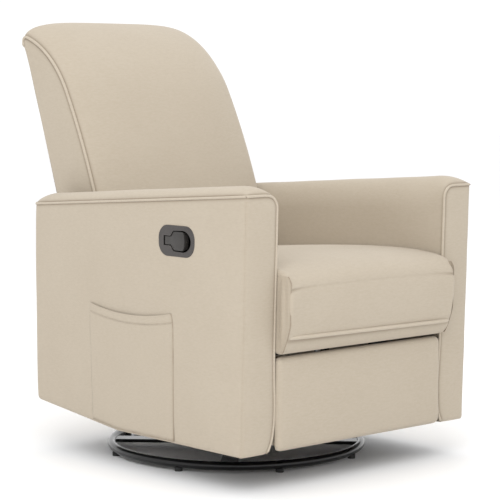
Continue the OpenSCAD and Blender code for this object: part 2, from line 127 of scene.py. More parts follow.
class Graph:
    """The node tree of one material, with a Principled shader at its end."""

    def __init__(self, name: str) -> None:
        """Makes the material and an empty tree with its shader.

        Args:
            name: name of the material.
        """
        self.material = bpy.data.materials.new(name)
        self.material.use_nodes = True
        self.tree = self.material.node_tree
        self.tree.nodes.clear()
        self.shader = self.node("ShaderNodeBsdfPrincipled")
        self.node("ShaderNodeOutputMaterial", sockets={"Surface": self.shader.outputs["BSDF"]})
        self.coords = self.node("ShaderNodeTexCoord")

    def node(
        self,
        kind: str,
        settings: Optional[dict[str, Any]] = None,
        sockets: Optional[dict[Union[str, int], Any]] = None,
    ) -> bpy.types.Node:
        """Adds a node, sets it up and joins its sockets.

        Args:
            kind: Blender's name for the node's type.
            settings: attributes of the node, set before its sockets.
            sockets: values or links for its inputs, by name or by index.

        Returns:
            The node.
        """
        made = self.tree.nodes.new(kind)
        for name, value in (settings or {}).items():
            setattr(made, name, value)
        for name, value in (sockets or {}).items():
            self.join(value, made.inputs[name])
        return made

    def join(self, value: Any, socket: bpy.types.NodeSocket) -> None:
        """Links a wire or a socket into an input, or sets the input's value.

        Args:
            value: a Wire, an output socket, a number or a colour.
            socket: the input.
        """
        if isinstance(value, Wire):
            self.tree.links.new(value.socket, socket)
        elif isinstance(value, bpy.types.NodeSocket):
            self.tree.links.new(value, socket)
        elif socket.type == "RGBA" and len(value) == 3:
            socket.default_value = (*value, 1.0)
        else:
            socket.default_value = value

    def maths(self, operation: str, left: Operand, right: Operand) -> Wire:
        """Adds a Math node.

        Args:
            operation: the node's operation.
            left: first operand.
            right: second operand.

        Returns:
            The result.
        """
        made = self.node("ShaderNodeMath", {"operation": operation}, {0: left, 1: right})
        return Wire(self, made.outputs[0])

    def blend(self, share: Operand, first: Any, second: Any, how: str = "MIX") -> Wire:
        """Mixes two colours.

        Args:
            share: how much of the second colour.
            first: a colour or a wire.
            second: a colour or a wire.
            how: the Mix node's blend type.

        Returns:
            The mixed colour.
        """
        settings = {"data_type": "RGBA", "blend_type": how, "clamp_factor": True}
        made = self.node("ShaderNodeMix", settings, {0: share, 6: first, 7: second})
        return Wire(self, made.outputs[2])

    def axes(self, output: str) -> tuple[Wire, Wire, Wire]:
        """The three components of a texture coordinate, such as Object or Normal."""
        split = self.node("ShaderNodeSeparateXYZ", sockets={0: self.coords.outputs[output]})
        return tuple(Wire(self, split.outputs[i]) for i in range(3))

    def noise(self, scale: float, detail: float = 3.0, stretch: Colour = (1.0, 1.0, 1.0)) -> Wire:
        """Noise in the object's own space.

        Args:
            scale: features per metre.
            detail: octaves.
            stretch: factors on the three axes.

        Returns:
            A value near 0.5.
        """
        place = self.node(
            "ShaderNodeVectorMath",
            {"operation": "MULTIPLY"},
            {0: self.coords.outputs["Object"], 1: stretch},
        )
        sockets = {"Vector": place.outputs[0], "Scale": scale, "Detail": detail, "Roughness": 0.55}
        return Wire(self, self.node("ShaderNodeTexNoise", sockets=sockets).outputs["Fac"])

    def levels(self, value: Wire, low: float, high: float) -> Wire:
        """Spreads the values between low and high over 0 to 1, with a soft start and end."""
        settings = {"interpolation_type": "SMOOTHSTEP"}
        made = self.node("ShaderNodeMapRange", settings, {0: value, 1: low, 2: high})
        return Wire(self, made.outputs[0])

    def attribute(self, name: str) -> Wire:
        """A value that the mesh keeps for each of its points."""
        made = self.node("ShaderNodeAttribute", {"attribute_name": name})
        return Wire(self, made.outputs["Fac"])

    def bump(self, height: Wire, distance: float, strength: float) -> None:
        """Raises the surface by height times distance, in metres, on the shader's normal."""
        sockets = {"Height": height, "Distance": distance, "Strength": strength}
        made = self.node("ShaderNodeBump", sockets=sockets)
        self.join(made.outputs[0], self.shader.inputs["Normal"])

    def finish(self, **inputs: Any) -> bpy.types.Material:
        """Sets the shader's inputs and returns the material.

        Args:
            inputs: values by input name, with _ for a space.

        Returns:
            The finished material.
        """
        by_name = {socket.name.lower().replace(" ", "_"): socket for socket in self.shader.inputs}
        for name, value in inputs.items():
            self.join(value, by_name[name])
        return self.material


@dataclass(frozen=True)
class Cloth:
    """Matt upholstery cloth in a fine plain weave."""

    name: str
    shade: Colour = (0.425, 0.364, 0.285)
    light: Colour = (0.470, 0.410, 0.328)
    # Colour the cloth darkens to next to welts and seams: painted shade in the seam creases.
    seam: Colour = (0.185, 0.140, 0.098)
    pitch: float = 1.1 * MM
    relief: float = 0.22 * MM
    sheen: float = 0.22

    def weave(self, graph: Graph) -> Wire:
        """Over and under of the threads, seen along whichever axis the surface faces."""
        step = math.pi / self.pitch
        x, y, z = (wire * step for wire in graph.axes("Object"))
        nx, ny, nz = (wire * wire for wire in graph.axes("Normal"))
        sx, sy, sz = x.sine(), y.sine(), z.sine()
        return sy * sz * nx + sx * sz * ny + sx * sy * nz

    def make(self) -> bpy.types.Material:
        """Builds the cloth's material."""
        graph = Graph(self.name)
        weave = self.weave(graph)
        fibre = graph.noise(1400.0, 2.0)
        slub = graph.noise(90.0, 4.0, (1.0, 1.0, 3.5))
        patch = graph.noise(7.0, 2.0)
        tone = graph.levels(patch * 0.2 + slub * 0.45 + fibre * 0.35, 0.30, 0.70)
        colour = graph.blend(tone, self.shade, self.light)
        # Lighter on the weave's raised threads than in its dips: painted light on the weave's relief.
        crest_lit = graph.blend(weave * 0.10 + 0.10, colour, self.light)
        # Darker towards the seam colour near welts and seams: painted shade in the seam creases.
        tucked = graph.blend(graph.attribute("seam") * 0.9, crest_lit, self.seam)
        graph.bump(weave * 0.55 + fibre * 0.6 + slub * 1.1, self.relief, 0.55)
        return graph.finish(
            base_color=tucked,
            roughness=0.80 + fibre * 0.16,
            sheen_weight=self.sheen,
            sheen_roughness=0.45,
            sheen_tint=(1.0, 0.97, 0.93),
            specular_ior_level=0.25,
        )


@dataclass(frozen=True)
class Felt:
    """Pressed fibre, as on the spring deck and under the arms."""

    name: str
    shade: Colour = (0.018, 0.018, 0.019)
    light: Colour = (0.050, 0.049, 0.048)

    def make(self) -> bpy.types.Material:
        """Builds the felt's material."""
        graph = Graph(self.name)
        hair = graph.noise(700.0, 6.0, (1.0, 0.35, 1.0))
        clump = graph.noise(60.0, 3.0)
        colour = graph.blend(graph.levels(hair * 0.6 + clump * 0.4, 0.35, 0.68), self.shade, self.light)
        graph.bump(hair + clump * 0.5, 0.5 * MM, 0.6)
        return graph.finish(base_color=colour, roughness=0.9 + hair * 0.08, sheen_weight=0.2)


@dataclass(frozen=True)
class Enamel:
    """Sprayed or powder-coated steel, with orange peel, dust and rubbed patches."""

    name: str
    colour: Colour
    dust: Colour = (0.10, 0.10, 0.10)
    roughness: float = 0.2
    coat: float = 0.6
    peel: float = 0.05 * MM
    dusting: float = 0.12

    def make(self) -> bpy.types.Material:
        """Builds the enamel's material."""
        graph = Graph(self.name)
        peel = graph.noise(420.0, 2.0)
        cloud = graph.noise(14.0, 4.0)
        speck = graph.levels(graph.noise(950.0, 1.0), 0.66, 0.74)
        up = graph.maths("MAXIMUM", graph.axes("Normal")[2], 0.0)
        film = graph.levels(cloud, 0.42, 0.70) * up * self.dusting + speck * 0.08
        graph.bump(peel, self.peel, 0.5)
        return graph.finish(
            base_color=graph.blend(film, self.colour, self.dust),
            roughness=self.roughness + film * 0.8 + cloud * 0.06,
            coat_weight=self.coat - cloud * 0.1,
            coat_roughness=0.06,
            specular_ior_level=0.3,
        )


@dataclass(frozen=True)
class BareMetal:
    """Turned, drawn or plated metal."""

    name: str
    colour: Colour
    tarnish: Colour
    roughness: float = 0.3
    grain: Colour = (1.0, 14.0, 14.0)

    def make(self) -> bpy.types.Material:
        """Builds the metal's material."""
        graph = Graph(self.name)
        lines = graph.noise(160.0, 5.0, self.grain)
        stain = graph.levels(graph.noise(38.0, 5.0), 0.45, 0.72)
        graph.bump(lines, 0.06 * MM, 0.5)
        return graph.finish(
            base_color=graph.blend(stain * 0.7, self.colour, self.tarnish),
            metallic=1.0 - stain * 0.25,
            roughness=self.roughness + lines * 0.12 + stain * 0.15,
        )


@dataclass(frozen=True)
class Timber:
    """Planed softwood for frames that the cloth hides."""

    name: str
    early: Colour = (0.56, 0.36, 0.18)
    late: Colour = (0.33, 0.18, 0.075)
    stretch: Colour = (1.0, 9.0, 9.0)

    def make(self) -> bpy.types.Material:
        """Builds the timber's material."""
        graph = Graph(self.name)
        drift = graph.noise(3.0, 2.0, self.stretch)
        pores = graph.noise(120.0, 4.0, self.stretch)
        rings = ((drift * 60.0).sine() * 0.5 + 0.5) ** 1.6
        colour = graph.blend(rings * 0.7 + pores * 0.3, self.early, self.late)
        graph.bump(rings * 0.5 + pores, 0.25 * MM, 0.5)
        return graph.finish(base_color=colour, roughness=0.52 + pores * 0.2, specular_ior_level=0.35)


@dataclass(frozen=True)
class Moulded:
    """Moulded plastic or rubber with a spark-eroded grain."""

    name: str
    colour: Colour
    rubbed: Colour
    roughness: float = 0.42
    grain: float = 700.0
    relief: float = 0.10 * MM

    def make(self) -> bpy.types.Material:
        """Builds the plastic's material."""
        graph = Graph(self.name)
        grain = graph.noise(self.grain, 3.0)
        flow = graph.noise(22.0, 3.0)
        mottle = graph.levels(flow * 0.6 + grain * 0.4, 0.36, 0.66)
        colour = graph.blend(mottle, self.colour, self.rubbed)
        graph.bump(grain, self.relief, 0.6)
        return graph.finish(base_color=colour, roughness=self.roughness + flow * 0.14 + grain * 0.06)


class Finishes:
    """Every finish of the chair, made once."""

    def __init__(self) -> None:
        """Builds the materials."""
        self.cloth = Cloth("cream_weave").make()
        self.piping = Cloth(
            "piping_weave", shade=(0.45, 0.386, 0.304), light=(0.51, 0.447, 0.36), pitch=0.8 * MM
        ).make()
        self.thread = Cloth("cream_thread", light=(0.54, 0.475, 0.39), pitch=0.45 * MM, sheen=0.5).make()
        self.felt = Felt("deck_fibre").make()
        self.gloss = Enamel(
            "gloss_black_enamel", (0.005, 0.005, 0.0055), roughness=0.16, coat=0.3, dusting=0.04
        ).make()
        self.frame = Enamel(
            "frame_powder_coat", (0.022, 0.023, 0.025),
            roughness=0.38, coat=0.2, peel=0.12 * MM, dusting=0.3,
        ).make()
        self.bearing = BareMetal(
            "ground_bearing_steel", (0.56, 0.57, 0.58), (0.30, 0.27, 0.23), 0.2
        ).make()
        self.zinc = BareMetal("bright_zinc_plate", (0.62, 0.63, 0.64), (0.52, 0.47, 0.34), 0.3).make()
        self.spring = BareMetal(
            "drawn_spring_wire", (0.30, 0.31, 0.33), (0.12, 0.10, 0.08), 0.34
        ).make()
        self.timber = Timber("planed_pine").make()
        self.timber_upright = Timber("planed_pine_upright", stretch=(9.0, 9.0, 1.0)).make()
        self.rubber = Moulded(
            "foot_rubber_grain", (0.012, 0.012, 0.012), (0.03, 0.03, 0.03), 0.7
        ).make()
        self.plastic = Moulded("handle_grain", (0.034, 0.029, 0.027), (0.060, 0.053, 0.050)).make()
        self.paddle = Moulded(
            "paddle_grain", (0.021, 0.019, 0.017), (0.040, 0.036, 0.033), 0.36
        ).make()
        # Near-black plastic for the walls and floor of the handle's recess: painted shade inside the
        # recess.
        self.recess = Moulded(
            "recess_grain", (0.006, 0.005, 0.0045), (0.012, 0.010, 0.009), 0.6
        ).make()
        self.sheath = Moulded(
            "cable_sheath_ribs", (0.010, 0.010, 0.011), (0.03, 0.03, 0.032), 0.4, grain=260.0
        ).make()


# ---------------------------------------------------------------- shapes


def swell(t: np.ndarray) -> np.ndarray:
    """A quarter round that rises steeply at 0 and is flat from 1 on."""
    return np.sqrt(np.clip(1 - (1 - np.clip(t, 0, 1)) ** 2, 0, 1))


def ease(t: np.ndarray) -> np.ndarray:
    """A smooth step from 0 to 1."""
    t = np.clip(t, 0, 1)
    return t * t * (3 - 2 * t)


def crowded(count: int, amount: float = 0.6) -> np.ndarray:
    """Numbers from 0 to 1 that lie closer together near both ends.

    Args:
        count: how many.
        amount: from 0, evenly spaced, to 1.

    Returns:
        The numbers.
    """
    even = np.linspace(0, 1, count)
    return (1 - amount) * even + amount * (1 - np.cos(np.pi * even)) / 2


def puffed(gap: np.ndarray, height: float, reach: float) -> np.ndarray:
    """Height of filled cloth that rises from its seam.

    Args:
        gap: distance from the seam.
        height: how high it gets.
        reach: distance over which it does most of its rise.

    Returns:
        The height at each gap.
    """
    return height * (1 - np.exp(-gap / reach))


def tucked(gap: np.ndarray, depth: float, width: float) -> np.ndarray:
    """Depth to which cloth is pulled in at its seam.

    Args:
        gap: distance from the seam.
        depth: how deep it is at the seam.
        width: distance at which it has ended.

    Returns:
        The depth at each gap.
    """
    return depth * np.clip(1 - gap / width, 0, 1) ** 2


def length_of(line: np.ndarray) -> float:
    """Length of a line of points."""
    return np.linalg.norm(np.diff(line, axis=0), axis=1).sum()


def outward(outline: np.ndarray) -> np.ndarray:
    """Unit vectors that point out of a closed outline, one for each of its points."""
    ahead = np.roll(outline, -1, 0) - np.roll(outline, 1, 0)
    out = np.stack([ahead[:, 1], -ahead[:, 0]], 1)
    out /= np.linalg.norm(out, axis=1, keepdims=True)
    following = np.roll(outline, -1, 0)
    area = np.sum(outline[:, 0] * following[:, 1] - outline[:, 1] * following[:, 0])
    return out * (1.0 if area > 0 else -1.0)


def respace(points: np.ndarray, count: int) -> np.ndarray:
    """Places points evenly along a line of points.

    Args:
        points: the line, one point a row.
        count: how many to return.

    Returns:
        The evenly spaced points, the ends kept.
    """
    points = np.asarray(points, float)
    run = np.concatenate([[0], np.cumsum(np.linalg.norm(np.diff(points, axis=0), axis=1))])
    wanted = np.linspace(0, run[-1], count)
    return np.stack([np.interp(wanted, run, points[:, k]) for k in range(points.shape[1])], 1)


def smooth_line(points: Sequence[Sequence[float]], spacing: float) -> np.ndarray:
    """Runs a Catmull-Rom curve through points and spaces it evenly.

    Args:
        points: the points to pass through.
        spacing: distance between the returned points.

    Returns:
        Points along the curve.
    """
    p = np.asarray(points, float)
    p = np.vstack([2 * p[0] - p[1], p, 2 * p[-1] - p[-2]])
    t = np.linspace(0, 1, 12, endpoint=False)[:, None]
    runs = []
    for a, b, c, d in zip(p[:-3], p[1:-2], p[2:-1], p[3:]):
        runs.append(0.5 * (2 * b + (c - a) * t + (2 * a - 5 * b + 4 * c - d) * t**2
                           + (3 * b - a - 3 * c + d) * t**3))
    line = np.vstack([*runs, p[-2:-1]])
    return respace(line, max(3, int(round(length_of(line) / spacing)) + 1))


def arc(centre: Sequence[float], radius: float, start: float, end: float, count: int) -> np.ndarray:
    """Points of an arc in a plane.

    Args:
        centre: the arc's centre, two numbers.
        radius: its radius.
        start: first angle in degrees.
        end: last angle in degrees.
        count: how many points.

    Returns:
        The points, one a row.
    """
    angle = np.radians(np.linspace(start, end, count))
    return np.asarray(centre) + radius * np.stack([np.cos(angle), np.sin(angle)], 1)


def round_rectangle(width: float, height: float, radius: float, per_corner: int = 10) -> np.ndarray:
    """Outline of a rectangle with round corners, centred, counter-clockwise.

    Args:
        width: along the first axis.
        height: along the second axis.
        radius: of the corners.
        per_corner: points in each corner.

    Returns:
        The outline, one point a row.
    """
    corners = [(1, 1, 0), (-1, 1, 90), (-1, -1, 180), (1, -1, 270)]
    return np.vstack([
        arc((sx * (width / 2 - radius), sy * (height / 2 - radius)), radius, a, a + 90, per_corner)
        for sx, sy, a in corners
    ])


def normals_of(grid: Grid) -> Grid:
    """Unit normals of a grid surface, from its rows crossed with its columns."""
    down = np.gradient(grid, axis=0)
    along = np.gradient(grid, axis=1)
    n = np.cross(down, along)
    size = np.linalg.norm(n, axis=2, keepdims=True)
    n = n / np.maximum(size, 1e-12)
    weak = size[..., 0] < 1e-10
    if weak.any() and not weak.all():
        n[weak] = n[~weak].mean(0)
    return n


@dataclass(frozen=True)
class Ripple:
    """Slow, seeded unevenness of cloth over filling."""

    seed: int
    length: float
    height: float

    def at(self, points: np.ndarray) -> np.ndarray:
        """Height of the ripple at each point.

        Args:
            points: an array whose last axis is X, Y, Z.

        Returns:
            Heights in metres.
        """
        draw = np.random.default_rng(self.seed)
        total = np.zeros(points.shape[:-1])
        waves = 6
        for _ in range(waves):
            way = draw.normal(size=3)
            way /= np.linalg.norm(way)
            pitch = self.length * draw.uniform(0.6, 1.5)
            total += np.sin(points @ way * 2 * np.pi / pitch + draw.uniform(0, 2 * np.pi))
        return total * self.height / math.sqrt(waves)


def make_mesh(
    name: str,
    points: np.ndarray,
    faces: Sequence[Sequence[int]],
    finish: bpy.types.Material,
    sharp: float = 55.0,
) -> bpy.types.Object:
    """Makes a mesh object in the row frame, smooth but for its sharp edges.

    Args:
        name: the piece's name.
        points: its points, one a row.
        faces: point numbers of each face.
        finish: its material.
        sharp: angle in degrees above which an edge stays sharp.

    Returns:
        The object, linked to the scene.
    """
    mesh = bpy.data.meshes.new(name)
    mesh.from_pydata([tuple(p) for p in points], [], [tuple(f) for f in faces])
    clean = bmesh.new()
    clean.from_mesh(mesh)
    bmesh.ops.remove_doubles(clean, verts=clean.verts, dist=1e-6)
    bmesh.ops.recalc_face_normals(clean, faces=clean.faces)
    clean.to_mesh(mesh)
    clean.free()
    mesh.materials.append(finish)
    made = bpy.data.objects.new(name, mesh)
    bpy.context.scene.collection.objects.link(made)
    smooth(made, sharp)
    return made


def smooth(piece: bpy.types.Object, sharp: float = 55.0) -> None:
    """Shades a piece smooth, with edges over the given angle in degrees kept sharp."""
    piece.data.shade_smooth()
    piece.data.set_sharp_from_angle(angle=math.radians(sharp))


def coords_of(piece: bpy.types.Object) -> np.ndarray:
    """The points of a mesh, one a row."""
    flat = np.empty(len(piece.data.vertices) * 3)
    piece.data.vertices.foreach_get("co", flat)
    return flat.reshape(-1, 3)


def mark_seam_shade(piece: bpy.types.Object, closeness: Callable[[np.ndarray], np.ndarray]) -> None:
    """Keeps how near each point is to a seam, from 0 to 1, for the painted seam shade that darkens the
    cloth's colour there.

    Args:
        piece: a mesh object.
        closeness: gives the value for an array of points.
    """
    kept = piece.data.attributes.new("seam", "FLOAT", "POINT")
    kept.data.foreach_set("value", np.clip(closeness(coords_of(piece)), 0, 1).astype(np.float32))


def near_line(line: np.ndarray, reach: float, core: float = 0.0) -> Callable[[np.ndarray], np.ndarray]:
    """Makes a function that falls from 1 near a line to 0 well away from it.

    Args:
        line: the line's points.
        reach: distance over which it falls to about a third.
        core: distance from the line up to which it stays 1.

    Returns:
        The function, from places to closeness.
    """
    points = respace(line, max(8, int(length_of(line) / (2 * MM))))

    def closeness(places: np.ndarray) -> np.ndarray:
        """Closeness of each place to the line."""
        out = np.zeros(len(places))
        for start in range(0, len(places), 4000):
            block = places[start:start + 4000]
            gaps = ((block[:, None, :] - points[None]) ** 2).sum(2).min(1)
            out[start:start + 4000] = np.exp(-np.maximum(np.sqrt(gaps) - core, 0) / reach)
        return out

    return closeness


def slab(
    name: str, grid: Grid, thickness: float, finish: bpy.types.Material, inside: Sequence[float]
) -> bpy.types.Object:
    """Closes a grid surface into a thin solid that is thinner along its edges.

    Args:
        name: the piece's name.
        grid: outer surface, rows by columns of points.
        thickness: in metres.
        finish: its material.
        inside: a point on the side where the thickness goes.

    Returns:
        The object.
    """
    rows, columns = grid.shape[:2]
    i, j = np.meshgrid(np.arange(rows), np.arange(columns), indexing="ij")
    from_edge = np.minimum(np.minimum(i, rows - 1 - i), np.minimum(j, columns - 1 - j))
    depth = thickness * (0.35 + 0.65 * np.clip(from_edge / 3, 0, 1))
    normals = normals_of(grid)
    towards = np.sign(np.sum(normals * (np.asarray(inside, float) - grid)))
    back = grid + normals * depth[..., None] * towards
    number = np.arange(rows * columns).reshape(rows, columns)
    faces = []
    for r in range(rows - 1):
        for c in range(columns - 1):
            quad = [number[r, c], number[r + 1, c], number[r + 1, c + 1], number[r, c + 1]]
            faces.append(quad)
            faces.append([k + rows * columns for k in reversed(quad)])
    rim = [*number[0, :], *number[1:, -1], *number[-1, -2::-1], *number[-2:0:-1, 0]]
    for a, b in zip(rim, rim[1:] + rim[:1]):
        faces.append([a, b, b + rows * columns, a + rows * columns])
    return make_mesh(name, np.vstack([grid.reshape(-1, 3), back.reshape(-1, 3)]), faces, finish)


def loft(
    name: str, rings: np.ndarray, finish: bpy.types.Material, sharp: float = 55.0
) -> bpy.types.Object:
    """Joins closed rings of points into a solid with flat ends.

    Args:
        name: the piece's name.
        rings: rings by points by XYZ.
        finish: its material.
        sharp: angle in degrees above which an edge stays sharp.

    Returns:
        The object.
    """
    count, around = rings.shape[:2]
    faces = []
    for r in range(count - 1):
        for k in range(around):
            n = (k + 1) % around
            faces.append([r * around + k, r * around + n, (r + 1) * around + n, (r + 1) * around + k])
    faces.append(list(range(around)))
    faces.append([(count - 1) * around + k for k in range(around)])
    return make_mesh(name, rings.reshape(-1, 3), faces, finish, sharp)


def tube(
    name: str,
    line: np.ndarray,
    radius: Union[float, np.ndarray],
    finish: bpy.types.Material,
    sides: int = 12,
    closed: bool = False,
) -> bpy.types.Object:
    """Sweeps a round section along a line, with domed ends.

    Args:
        name: the piece's name.
        line: the centreline, one point a row.
        radius: one radius, or one for each point.
        finish: its material.
        sides: points round the section.
        closed: whether the line joins up with itself.

    Returns:
        The object.
    """
    line = np.asarray(line, float)
    radii = np.full(len(line), radius) if np.isscalar(radius) else np.asarray(radius, float)
    if not closed:
        for end, step in ((0, 1), (-1, -2)):
            out = line[end] - line[step]
            out /= np.linalg.norm(out)
            r = radii[end]
            caps = [line[end] + out * r * math.sin(a) for a in (0.55, 1.0, 1.4)]
            wide = [r * math.cos(a) for a in (0.55, 1.0, 1.4)]
            if end == 0:
                line, radii = np.vstack([caps[::-1], line]), np.concatenate([wide[::-1], radii])
            else:
                line, radii = np.vstack([line, caps]), np.concatenate([radii, wide])
    ahead = np.roll(line, -1, 0) - np.roll(line, 1, 0)
    if not closed:
        ahead[0], ahead[-1] = line[1] - line[0], line[-1] - line[-2]
    ahead /= np.linalg.norm(ahead, axis=1, keepdims=True)
    side = np.cross(ahead[0], [0.31, 0.17, 0.93])
    rings = []
    angle = np.linspace(0, 2 * np.pi, sides, endpoint=False)
    for place, way, r in zip(line, ahead, radii):
        side = side - way * (side @ way)
        side /= np.linalg.norm(side)
        other = np.cross(way, side)
        rings.append(place + r * (np.cos(angle)[:, None] * side + np.sin(angle)[:, None] * other))
    rings = np.array(rings)
    if not closed:
        return loft(name, rings, finish)
    number = np.arange(len(rings) * sides).reshape(len(rings), sides)
    ring_next, side_next = np.roll(number, -1, 0), np.roll(number, -1, 1)
    faces = np.stack([number, side_next, np.roll(ring_next, -1, 1), ring_next], 2).reshape(-1, 4)
    return make_mesh(name, rings.reshape(-1, 3), faces.tolist(), finish)


def stitches(
    name: str, line: np.ndarray, out: np.ndarray, finish: bpy.types.Material,
    pitch: float = 4.2 * MM, radius: float = 0.32 * MM,
) -> bpy.types.Object:
    """A row of short raised stitches along a line.

    Args:
        name: the piece's name.
        line: points on the cloth.
        out: direction away from the cloth.
        finish: its material.
        pitch: distance from one stitch to the next.
        radius: of the thread.

    Returns:
        One object with every stitch.
    """
    spots = respace(line, 4 * max(2, int(length_of(line) / pitch)) + 1)
    out = np.asarray(out, float)
    angle = np.linspace(0, 2 * np.pi, 6, endpoint=False)
    points, faces = [], []
    for k in range(0, len(spots) - 4, 4):
        run = spots[k:k + 4]
        way = run[-1] - run[0]
        way /= np.linalg.norm(way)
        side = np.cross(way, out)
        lift = (-0.5, 0.7, 0.7, -0.5)
        base = len(points)
        for place, up in zip(run, lift):
            for a in angle:
                points.append(place + out * radius * (up + math.cos(a)) + side * radius * math.sin(a))
        for ring in (base, base + 6, base + 12):
            for s in range(6):
                t = (s + 1) % 6
                faces.append([ring + s, ring + t, ring + 6 + t, ring + 6 + s])
        faces.append([base + s for s in range(6)])
        faces.append([base + 18 + s for s in range(6)])
    return make_mesh(name, np.array(points), faces, finish)


def cut(piece: bpy.types.Object, cutter: bpy.types.Object) -> None:
    """Takes the cutter's volume out of a piece and removes the cutter."""
    step = piece.modifiers.new("cut", "BOOLEAN")
    step.operation = "DIFFERENCE"
    step.solver = "EXACT"
    step.object = cutter
    bake(piece)
    bpy.data.objects.remove(cutter)


def bake(piece: bpy.types.Object) -> None:
    """Replaces a piece's mesh by what its modifiers make of it."""
    graph = bpy.context.evaluated_depsgraph_get()
    old = piece.data
    made = bpy.data.meshes.new_from_object(piece.evaluated_get(graph), depsgraph=graph)
    piece.modifiers.clear()
    piece.data = made
    made.name = piece.name
    bpy.data.meshes.remove(old)


@dataclass(frozen=True)
class Filling:
    """Puffs a closed cushion up with air pressure, as a cover does over its foam."""

    pressure: float = 4.0
    most: float = 0.012
    frames: int = 20

    def puff(self, piece: bpy.types.Object, held: np.ndarray) -> None:
        """Simulates the cover, keeps the result and rounds it by one subdivision.

        Args:
            piece: a closed mesh.
            held: for each point, from 0, free, to 1, sewn down.
        """
        self._simulate(piece, held)
        step = piece.modifiers.new("round", "SUBSURF")
        step.levels = 1
        step.render_levels = 1
        bake(piece)
        smooth(piece)

    def _simulate(self, piece: bpy.types.Object, held: np.ndarray) -> None:
        """Runs the cloth and moves each point by at most the limit, less where it is held."""
        scene = bpy.context.scene
        start = coords_of(piece)
        group = piece.vertex_groups.new(name="held")
        for number in np.flatnonzero(held > 0.02):
            group.add([int(number)], float(held[number]), "REPLACE")
        step = piece.modifiers.new("cover", "CLOTH")
        step.settings.vertex_group_mass = group.name
        step.settings.use_pressure = True
        step.settings.uniform_pressure_force = self.pressure
        step.settings.effector_weights.gravity = 0.0
        step.settings.tension_stiffness = 30.0
        step.settings.compression_stiffness = 30.0
        step.settings.bending_stiffness = 1.5
        step.point_cache.frame_start = 1
        step.point_cache.frame_end = self.frames
        for number in range(1, self.frames + 1):
            scene.frame_set(number)
        graph = bpy.context.evaluated_depsgraph_get()
        moved = np.empty(len(start) * 3)
        piece.evaluated_get(graph).data.vertices.foreach_get("co", moved)
        move = moved.reshape(-1, 3) - start
        size = np.linalg.norm(move, axis=1, keepdims=True)
        move *= self.most * np.tanh(size / self.most) / np.maximum(size, 1e-9)
        piece.modifiers.clear()
        piece.vertex_groups.clear()
        piece.data.vertices.foreach_set("co", (start + move * (1 - held)[:, None]).ravel())
        piece.data.update()
        scene.frame_set(1)


# ---------------------------------------------------------------- sub-assemblies


@dataclass
class SubAssembly:
    """A group of pieces that are made and fitted together."""

    finishes: Finishes

    def fit(
        self,
        piece: bpy.types.Object,
        body: Body,
        slot: str,
        replaces: Sequence[str] = (),
        fill: Optional[float] = None,
    ) -> bpy.types.Object:
        """Puts a piece on its body and hides the imported parts that it stands for.

        Args:
            piece: the object.
            body: what it moves with.
            slot: name of a material slot; not used.
            replaces: CAD nodes that it stands for.
            fill: how tight its filling is, for a padded piece; not used.

        Returns:
            The piece.
        """
        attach(piece, body.value)
        if replaces:
            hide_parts(*replaces)
        log.info("%s rides on %s", piece.name, body.value)
        return piece


